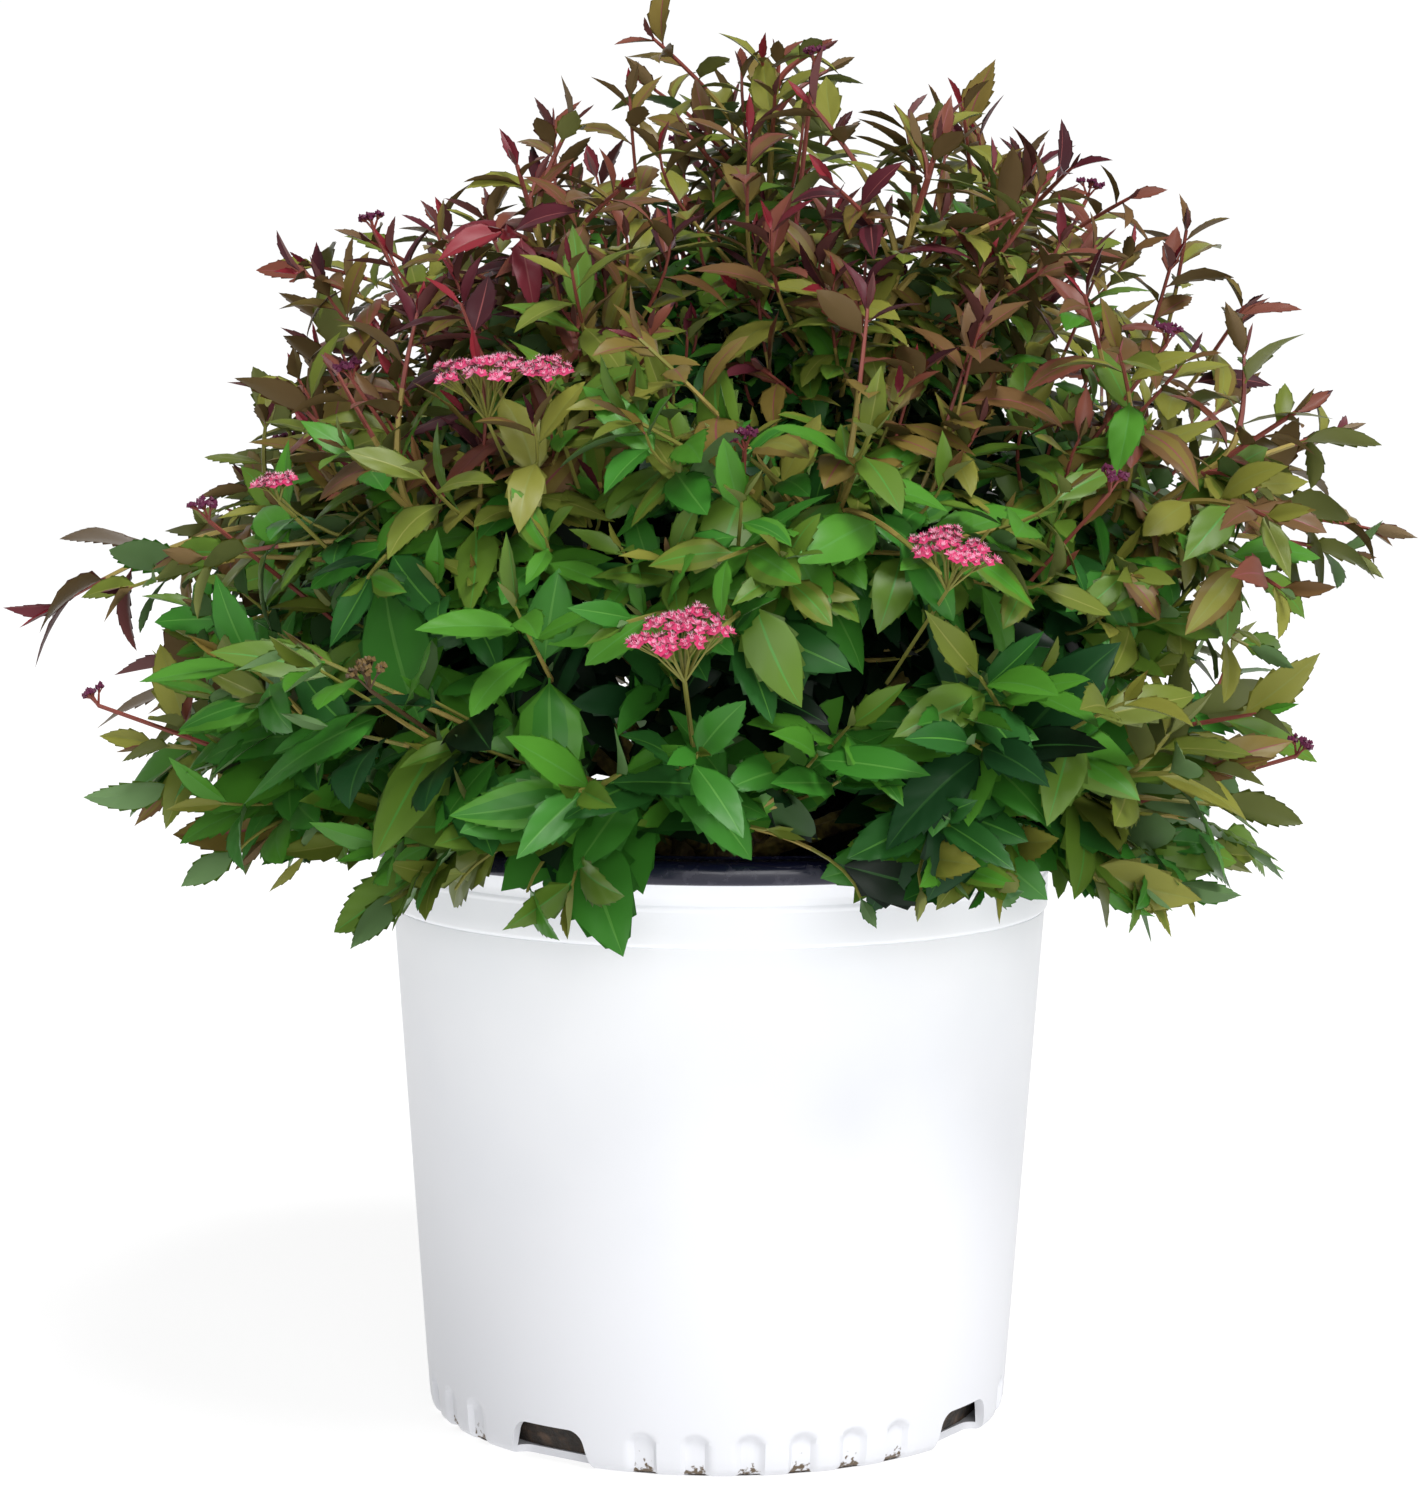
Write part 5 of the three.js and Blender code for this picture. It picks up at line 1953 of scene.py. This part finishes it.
@dataclass
class NurseryPot:
    """A round blown nursery pot: white outside, navy lip and lining, flutes round its foot."""

    height: float = 241.0
    foot_radius: float = 117.5
    foot_round: float = 4.5
    foot_ring: float = 95.0  # inside this radius the underside is raised
    foot_raise: float = 0.8
    shoulder_height: float = 206.0
    shoulder_radius: float = 132.0
    step_out: float = 1.1
    collar_height: float = 222.0
    bead: float = 0.45  # how far the collar's bead stands out
    wall: float = 2.0
    foot_wall: float = 4.0
    foot_band: float = 22.0  # up to here the wall is as thick as at the foot
    band_edge: float = 6.0
    floor: float = 3.0
    lining: float = 1.2
    lining_depth: float = 48.0
    lip_radius: float = 150.5
    lip_height: float = 9.0
    air: float = 0.3  # between wall and lining
    quarters: int = 4
    first_notch: float = math.radians(-33.8)
    notch_width: float = 42.0  # at its foot
    notch_top: float = 30.0  # its width at the top
    notch_height: float = 15.0
    notch_depth: float = 9.0
    notch_round: float = 5.0
    flutes: int = 6  # between two notches
    flute_pitch: float = math.radians(10.1)
    flute_width: float = 9.5
    flute_height: float = 16.5
    flute_edge: float = 2.2  # over which it sinks
    flute_sink: float = 2.3
    flute_zone: float = 24.0  # the height that all pressing and soil stays under
    steps: int = 480
    rim_steps: int = 240
    shell: BlownPolyethylene = BlownPolyethylene("polyethylene_white_blown")
    rim: GlossPolyethylene = GlossPolyethylene("polyethylene_navy_gloss")

    @property
    def collar(self) -> float:
        """Returns the radius over the shoulder's step."""
        return self.shoulder_radius + self.step_out

    @property
    def flare(self) -> tuple[float, float]:
        """Returns the radius and height where the white wall ends under the lip."""
        return self.lip_radius - 5, self.height - self.lip_height + 1

    def flank(self, height: float | ndarray) -> float | ndarray:
        """Returns the outer radius of the straight flank at a height."""
        rise = (self.shoulder_radius - self.foot_radius) / self.shoulder_height
        return self.foot_radius + rise * height

    def outer_profile(self) -> list[tuple[float, float]]:
        """Lays the outside.

        Returns:
            Radii and heights, from the middle of the underside to the lip.
        """
        flare_radius, flare_top = self.flare
        raised, ring, round_ = self.foot_raise, self.foot_ring, self.foot_round
        points = [(0.0, raised), (ring - 3, raised), (ring, 0.0)]
        points += arc(self.foot_radius - round_, round_, round_, -90, -3, 7)
        fluted = [6 + 1.0 * i for i in range(16)]
        points += [(self.flank(z), z) for z in (*fluted, 25, 32, 60, 100, 140, 175, 198)]
        ledge = self.shoulder_height
        points += arc(self.flank(ledge) - 0.6, ledge - 0.4, 0.6, 0, 60, 3)
        points += [(self.collar - 0.25, ledge + 1.1), (self.collar, ledge + 1.8)]
        ridge = self.collar_height - 1.0
        points += [(self.collar, 212.0), (self.collar, ridge - 1.6)]
        swells = [self.bead * math.sin(math.pi * i / 6) for i in range(7)]
        points += [(self.collar + swell, ridge - 1.2 + 0.4 * i) for i, swell in enumerate(swells)]
        flare_steps = 12
        for step in range(1, flare_steps + 1):
            share = step / flare_steps
            out = share**1.8 * (1.75 - 0.75 * share)
            radius = mix(self.collar, flare_radius, min(1.0, out))
            points.append((radius, mix(self.collar_height + 1.6, flare_top, share)))
        return points

    def inner_profile(self) -> list[tuple[float, float]]:
        """Lays the inside.

        Returns:
            Radii and heights, from the lip down to the middle of the floor.
        """
        flare_radius, flare_top = self.flare
        band = self.foot_band + self.band_edge
        return [
            (flare_radius, flare_top + self.wall),
            (mix(self.collar, flare_radius, 0.6), flare_top - 1.0),
            (self.collar - self.wall, self.collar_height + 3),
            (self.flank(band) - self.wall, band),
            (self.flank(self.foot_band) - self.foot_wall, self.foot_band),
            (self.flank(self.floor) - self.foot_wall, self.floor),
            (0.0, self.floor),
        ]

    def build(self) -> None:
        """Builds the white wall and the navy rim."""
        self.build_wall()
        self.build_rim()

    def build_wall(self) -> None:
        """Turns the wall, presses in its flutes and cuts its notches."""
        wall = turn_profile("white_wall", self.outer_profile() + self.inner_profile(), self.steps)
        places = vertex_places(wall)
        places, soil = self.pressed(places)
        move_vertices(wall, places)
        stain = wall.data.attributes.new("soil", "FLOAT", "POINT")
        stain.data.foreach_set("value", soil.astype(np.float32))
        cutter = self.notch_cutter()
        select_only(wall)
        cut = wall.modifiers.new("notches", "BOOLEAN")
        cut.operation = "DIFFERENCE"
        cut.solver = "EXACT"
        cut.object = cutter
        bpy.ops.object.modifier_apply(modifier=cut.name)
        bpy.data.objects.remove(cutter)
        dress(wall, "white_pot", "pot_wall", sharp=35, finish=self.shell)

    def pressed(self, places: ndarray) -> tuple[ndarray, ndarray]:
        """Presses the flutes into the outer face.

        Args:
            places: the wall's vertices in millimetres.

        Returns:
            The moved vertices, and how much soil each holds.
        """
        radius = np.hypot(places[:, 0], places[:, 1])
        turns = np.arctan2(places[:, 1], places[:, 0])
        height = places[:, 2]
        outer = (radius > self.flank(height) - self.foot_round - 0.5) & (height < self.flute_zone)
        outer &= radius > self.foot_radius - self.foot_wall - 0.4
        sink = np.zeros(len(places))
        half = self.flute_width / 2
        for quarter in range(self.quarters):
            middle = self.first_notch - TURN / 4 + TURN / 8 + quarter * TURN / self.quarters
            for flute in range(self.flutes):
                turn = middle + (flute - (self.flutes - 1) / 2) * self.flute_pitch
                swing = np.arctan2(np.sin(turns - turn), np.cos(turns - turn))
                across = np.abs(swing) * radius
                over = np.maximum(0.0, height - (self.flute_height - half))
                away = np.hypot(across, over) - half
                share = np.clip(0.5 - away / self.flute_edge, 0.0, 1.0)
                sink = np.maximum(sink, share * share * (3 - 2 * share))
        sink = np.where(outer, sink, 0.0)
        inward = 1 - self.flute_sink * sink / np.maximum(radius, 1.0)
        moved = places * np.stack((inward, inward, np.ones(len(places))), axis=1)
        low = np.clip(1 - height / self.flute_height, 0.0, 1.0)
        soil = sink * (0.33 + 0.36 * low) + 0.25 * np.clip(1 - height / 5, 0, 1)
        return moved, np.where(height < self.flute_zone, soil, 0.0)

    def notch_cutter(self) -> bpy.types.Object:
        """Models rounded wedges that cut the drain notches.

        Returns:
            The wedges, joined.
        """
        cutters = []
        past = 14.0  # mm that a wedge stands out of the wall
        under = 6.0  # and below the foot
        for quarter in range(self.quarters):
            select_only()
            bpy.ops.mesh.primitive_cube_add(size=1, location=(0, 0, 0))
            wedge = bpy.context.object
            depth = self.notch_depth + past
            wedge.scale = (depth * MM, self.notch_width * MM, (self.notch_height + under) * MM)
            bpy.ops.object.transform_apply(location=True, rotation=True, scale=True)
            for vertex in wedge.data.vertices:
                if vertex.co.z > 0:
                    vertex.co.y *= self.notch_top / self.notch_width
            for edge in wedge.data.edges:
                tops = [wedge.data.vertices[i].co for i in edge.vertices]
                edge.select = all(c.z > 0 for c in tops) and abs(tops[0].y - tops[1].y) < 1e-6
            bpy.ops.object.mode_set(mode="EDIT")
            bpy.ops.mesh.select_mode(type="EDGE")
            bpy.ops.mesh.bevel(offset=self.notch_round * MM, segments=6, affect="EDGES")
            bpy.ops.object.mode_set(mode="OBJECT")
            middle = self.foot_radius - self.notch_depth + depth / 2
            turn = self.first_notch - TURN / 4 + quarter * TURN / self.quarters
            lift = (self.notch_height - under) / 2
            spot = (middle * math.cos(turn), middle * math.sin(turn), lift)
            wedge.location = tuple(c * MM for c in spot)
            wedge.rotation_euler = (0, 0, turn)
            bpy.ops.object.transform_apply(location=True, rotation=True, scale=True)
            cutters.append(wedge)
        select_only(cutters[0])
        for wedge in cutters[1:]:
            wedge.select_set(True)
        bpy.ops.object.join()
        return bpy.context.object

    def build_rim(self) -> None:
        """Turns the rolled navy lip and the lining that runs down inside the wall."""
        under = self.height - self.lip_height
        flare_radius, flare_top = self.flare
        seat = flare_top + self.wall + self.air
        throat = self.collar - self.wall - self.air
        throat_height = self.collar_height + 3
        lining_foot = self.height - self.lining_depth
        band = self.foot_band + self.band_edge
        rise = (lining_foot - band) / (throat_height - band)
        foot = mix(self.flank(band) - self.wall - self.air, throat, rise)
        lip, top = self.lip_radius, self.height
        profile = [(foot - self.lining, lining_foot), (foot, lining_foot)]
        profile += [(throat, throat_height + self.air), (mix(throat, flare_radius, 0.55), seat - 1.6)]
        profile += [(flare_radius + self.air, seat), (flare_radius + 1, under + 0.2)]
        profile += arc(lip - 2.6, under + 2.6, 2.6, -100, 0, 7)
        profile += arc(lip - 4.4, top - 4.4, 4.4, 0, 96, 10)
        profile += arc(lip - 9.6, top + 2.2, 3.0, -130, -150, 1)
        profile += [(lip - 13.0, top - 0.5), (lip - 14.2, top - 1.4)]
        inner = throat - self.lining
        profile += [(inner + 2.4, throat_height + 8.6), (inner + 0.7, throat_height + 5.4)]
        profile += [(inner, throat_height + 2.0), profile[0]]
        rim = turn_profile("navy_rim", profile, self.rim_steps)
        dress(rim, "navy_pot", "pot_rim", sharp=40, finish=self.rim)


@dataclass
class PottingMix:
    """Bark mix that fills the pot: an uneven top strewn with chips of bark."""

    top: float = 207.0
    rise: float = 3.0  # from the wall to the middle
    radius: float = 126.5
    # Radii and heights of its lower edges, which follow the pot's inside
    foot_radius: float = 108.0
    band: tuple[tuple[float, float], ...] = ((114.4, 22.0), (116.3, 28.0))
    rings: int = 34
    steps: int = 180
    calm: float = 30.0  # the radius round the root crown that stays even
    chips: int = 420
    chip_least: tuple[float, float, float] = (5, 3, 1.2)  # length, width and thickness
    chip_most: tuple[float, float, float] = (15, 7, 2.6)
    seed: int = 5150
    mix_finish: Bark = Bark("bark_mix_moist", ("#14100c", "#2b2119", "#4a382a"), 1.5, 6.0, 1.2)
    chip_finish: Bark = Bark("bark_chips_split", ("#2a1d14", "#5a4230", "#7b6047"), 0.8, 5.0, 0.5)

    def build(self) -> None:
        """Builds the body of the mix and the chips on it."""
        self.build_body()
        self.build_chips()

    def height_at(self, share: float) -> float:
        """Returns the height of the top at a share of the radius."""
        return self.top + self.rise * (1 - share) ** 2

    def build_body(self) -> None:
        """Turns the body and roughens its top."""
        low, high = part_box("potting_mix")
        foot = float(low.z) / MM
        profile = [(0.0, foot), (self.foot_radius, foot), *self.band, (self.radius, self.top - 3)]
        for ring in range(1, self.rings):
            share = 1 - ring / self.rings
            profile.append((self.radius * share, self.height_at(share)))
        profile.append((0.0, float(high.z) / MM))
        body = turn_profile("bark_mix", profile, self.steps)
        places = vertex_places(body)
        upper = places[:, 2] > self.top - 0.5
        bumps = 1.1 * relief(places, 13.0, 5.0) + 0.7 * relief(places, 5.3, 8.0)
        uneven = upper & (np.hypot(places[:, 0], places[:, 1]) > self.calm)
        places[:, 2] += np.where(uneven, bumps - 0.6, 0.0)
        move_vertices(body, places)
        dress(body, "bark_mix", "potting_mix", sharp=60, finish=self.mix_finish)

    def build_chips(self) -> None:
        """Strews chips, copied from one that is bevelled and drawn out."""
        select_only()
        bpy.ops.mesh.primitive_cube_add(size=1, location=(0, 0, 0))
        first = bpy.context.object
        bpy.ops.object.mode_set(mode="EDIT")
        bpy.ops.mesh.select_all(action="SELECT")
        bpy.ops.mesh.bevel(offset=0.22, segments=1, affect="EDGES")
        bpy.ops.object.mode_set(mode="OBJECT")
        spots = np.array([v.co for v in first.data.vertices], float)
        shape = Faces.of([list(p.vertices) for p in first.data.polygons])
        bpy.data.objects.remove(first)
        dice = Dice(self.seed)
        batch = Batch()
        for _ in range(self.chips):
            out = (self.radius - 7) * math.sqrt(dice.between(0.06, 1.0))
            turn = dice.between(0, TURN)
            height = self.height_at(out / self.radius) + dice.between(-0.4, 1.6)
            size = np.array([dice.between(*ends) for ends in zip(self.chip_least, self.chip_most)])
            local = spots * size * (1 + 0.16 * np.sin(spots[:, [1, 2, 0]] * 9 + dice.between(0, 6)))
            yaw, pitch = dice.between(0, TURN), dice.bell(0.22)
            level = math.cos(pitch)
            along = np.array((math.cos(yaw) * level, math.sin(yaw) * level, math.sin(pitch)))
            side = unit(np.cross(UP, along))
            basis = np.stack((along, side, np.cross(along, side)))
            middle = np.array((out * math.cos(turn), out * math.sin(turn), height))
            placed = middle + local @ basis
            paints = np.full((1, len(shape.sizes)), number_of(Paint.HUSK))
            batch.add(placed[None], shape, paints)
        dress(batch.piece("bark_chips"), "bark_mix", sharp=40, finish=self.chip_finish)


# -------- crown, studio and assembly


@dataclass
class Crown:
    """All the masses of the shrub."""

    def build(self) -> None:
        """Grows each mass and dresses it as leaves and twigs."""
        for level, tier in enumerate(TIERS):
            for index in range(tier.count):
                mass = Mass(RULE.space_of(tier, index), 1000 * (level + 1) + 37 * (index + 1))
                mass.grow()
                node = f"{tier.name}_foliage_{index + 1}"
                leaves = mass.leaf_piece(f"{tier.name}_leaves_{index + 1}")
                twigs = mass.twig_piece(f"{tier.name}_twigs_{index + 1}")
                dress(leaves, tier.slot, node, sharp=62)
                dress(twigs, "cane_bark", node, sharp=50)


@dataclass
class Studio:
    """A lit table, a white room, a high and a low soft light and the camera."""

    lens: float = 89.2  # mm
    sensor: float = 36.0  # mm, its width
    place: tuple[float, float, float] = (-0.0036, -1.5, 0.414)  # metres
    pitch: float = 5.57  # degrees that the camera looks down
    roll: float = -0.3  # degrees
    table: float = 12.0  # metres a side
    backdrop: float = 1.04  # the brightness of the wall behind
    room: float = 0.36  # and of the rest of the room
    left_share: float = 0.7  # of it, on the left
    # Soft lights: azimuth and height that each comes from, width across in degrees, strength
    lights: tuple[tuple[str, float, float, float, float], ...] = (
        ("high_window", -56.0, 58.0, 24.0, 2.7),
        ("low_window", -78.0, 14.0, 40.0, 1.3),
    )

    def build(self) -> None:
        """Builds the floor, the world, the lights and the camera."""
        self.build_floor()
        self.build_world()
        for light in self.lights:
            self.add_light(*light)
        self.build_camera()

    def build_floor(self) -> None:
        """Lays the table."""
        select_only()
        bpy.ops.mesh.primitive_plane_add(size=self.table, location=(0, 0, 0))
        floor = bpy.context.object
        floor.name = "light_table"
        floor.data.materials.append(LightTable("acrylic_lit_white").material())

    def build_world(self) -> None:
        """Lights the room: all its walls look white, and the one behind gives most light."""
        world = bpy.data.worlds.new("white_room")
        bpy.context.scene.world = world
        world.use_nodes = True
        tree = world.node_tree
        shade = tree.nodes["Background"]
        shade.inputs["Color"].default_value = linear("#ffffff")
        way = add_node(tree, "TexCoord", out="Generated")
        facing = add_node(tree, "SeparateXYZ", {"Vector": way}, out="Y")
        bounds = {"From Min": 0.8, "From Max": 0.94, "To Min": self.room, "To Max": self.backdrop}
        level = add_node(tree, "MapRange", {"Value": facing, **bounds})
        aside = add_node(tree, "SeparateXYZ", {"Vector": way}, out="X")
        bounds = {"From Min": -0.9, "From Max": -0.25, "To Min": self.left_share, "To Max": 1.0}
        side = add_node(tree, "MapRange", {"Value": aside, **bounds})
        lit = add_node(tree, "Math", {0: level, 1: side}, operation="MULTIPLY")
        seen = add_node(tree, "LightPath", out="Is Camera Ray")
        bounds = {"To Min": lit, "To Max": self.backdrop}
        feed(shade, {"Strength": add_node(tree, "MapRange", {"Value": seen, **bounds})})

    def add_light(self, name: str, turn: float, rise: float, width: float, strength: float) -> None:
        """Adds a soft light from far away.

        Args:
            name: the light's name.
            turn: the azimuth that it comes from, in degrees.
            rise: how high it stands, in degrees.
            width: how wide it is, in degrees.
            strength: its strength.
        """
        lamp = bpy.data.lights.new(name, "SUN")
        lamp.energy = strength
        lamp.angle = math.radians(width)
        light = bpy.data.objects.new(name, lamp)
        bpy.context.scene.collection.objects.link(light)
        light.rotation_euler = (math.radians(90 - rise), 0, math.radians(turn + 90))

    def build_camera(self) -> None:
        """Sets the camera level with the crown and a little above its middle."""
        data = bpy.data.cameras.new("camera")
        data.lens = self.lens
        data.sensor_width = self.sensor
        camera = bpy.data.objects.new("camera", data)
        bpy.context.scene.collection.objects.link(camera)
        camera.location = self.place
        camera.rotation_mode = "XYZ"
        camera.rotation_euler = (math.radians(90 - self.pitch), math.radians(self.roll), 0)
        bpy.context.scene.camera = camera


def main() -> None:
    """Builds the studio, the pot and the shrub."""
    logging.basicConfig(level=logging.INFO, format="%(name)s %(message)s")
    Studio().build()
    NurseryPot().build()
    PottingMix().build()
    RootCrown().build()
    Canes().build()
    Crown().build()
    Blossoming().build()
    bpy.context.scene.view_settings.view_transform = "Standard"


if __name__ == "__main__":
    main()
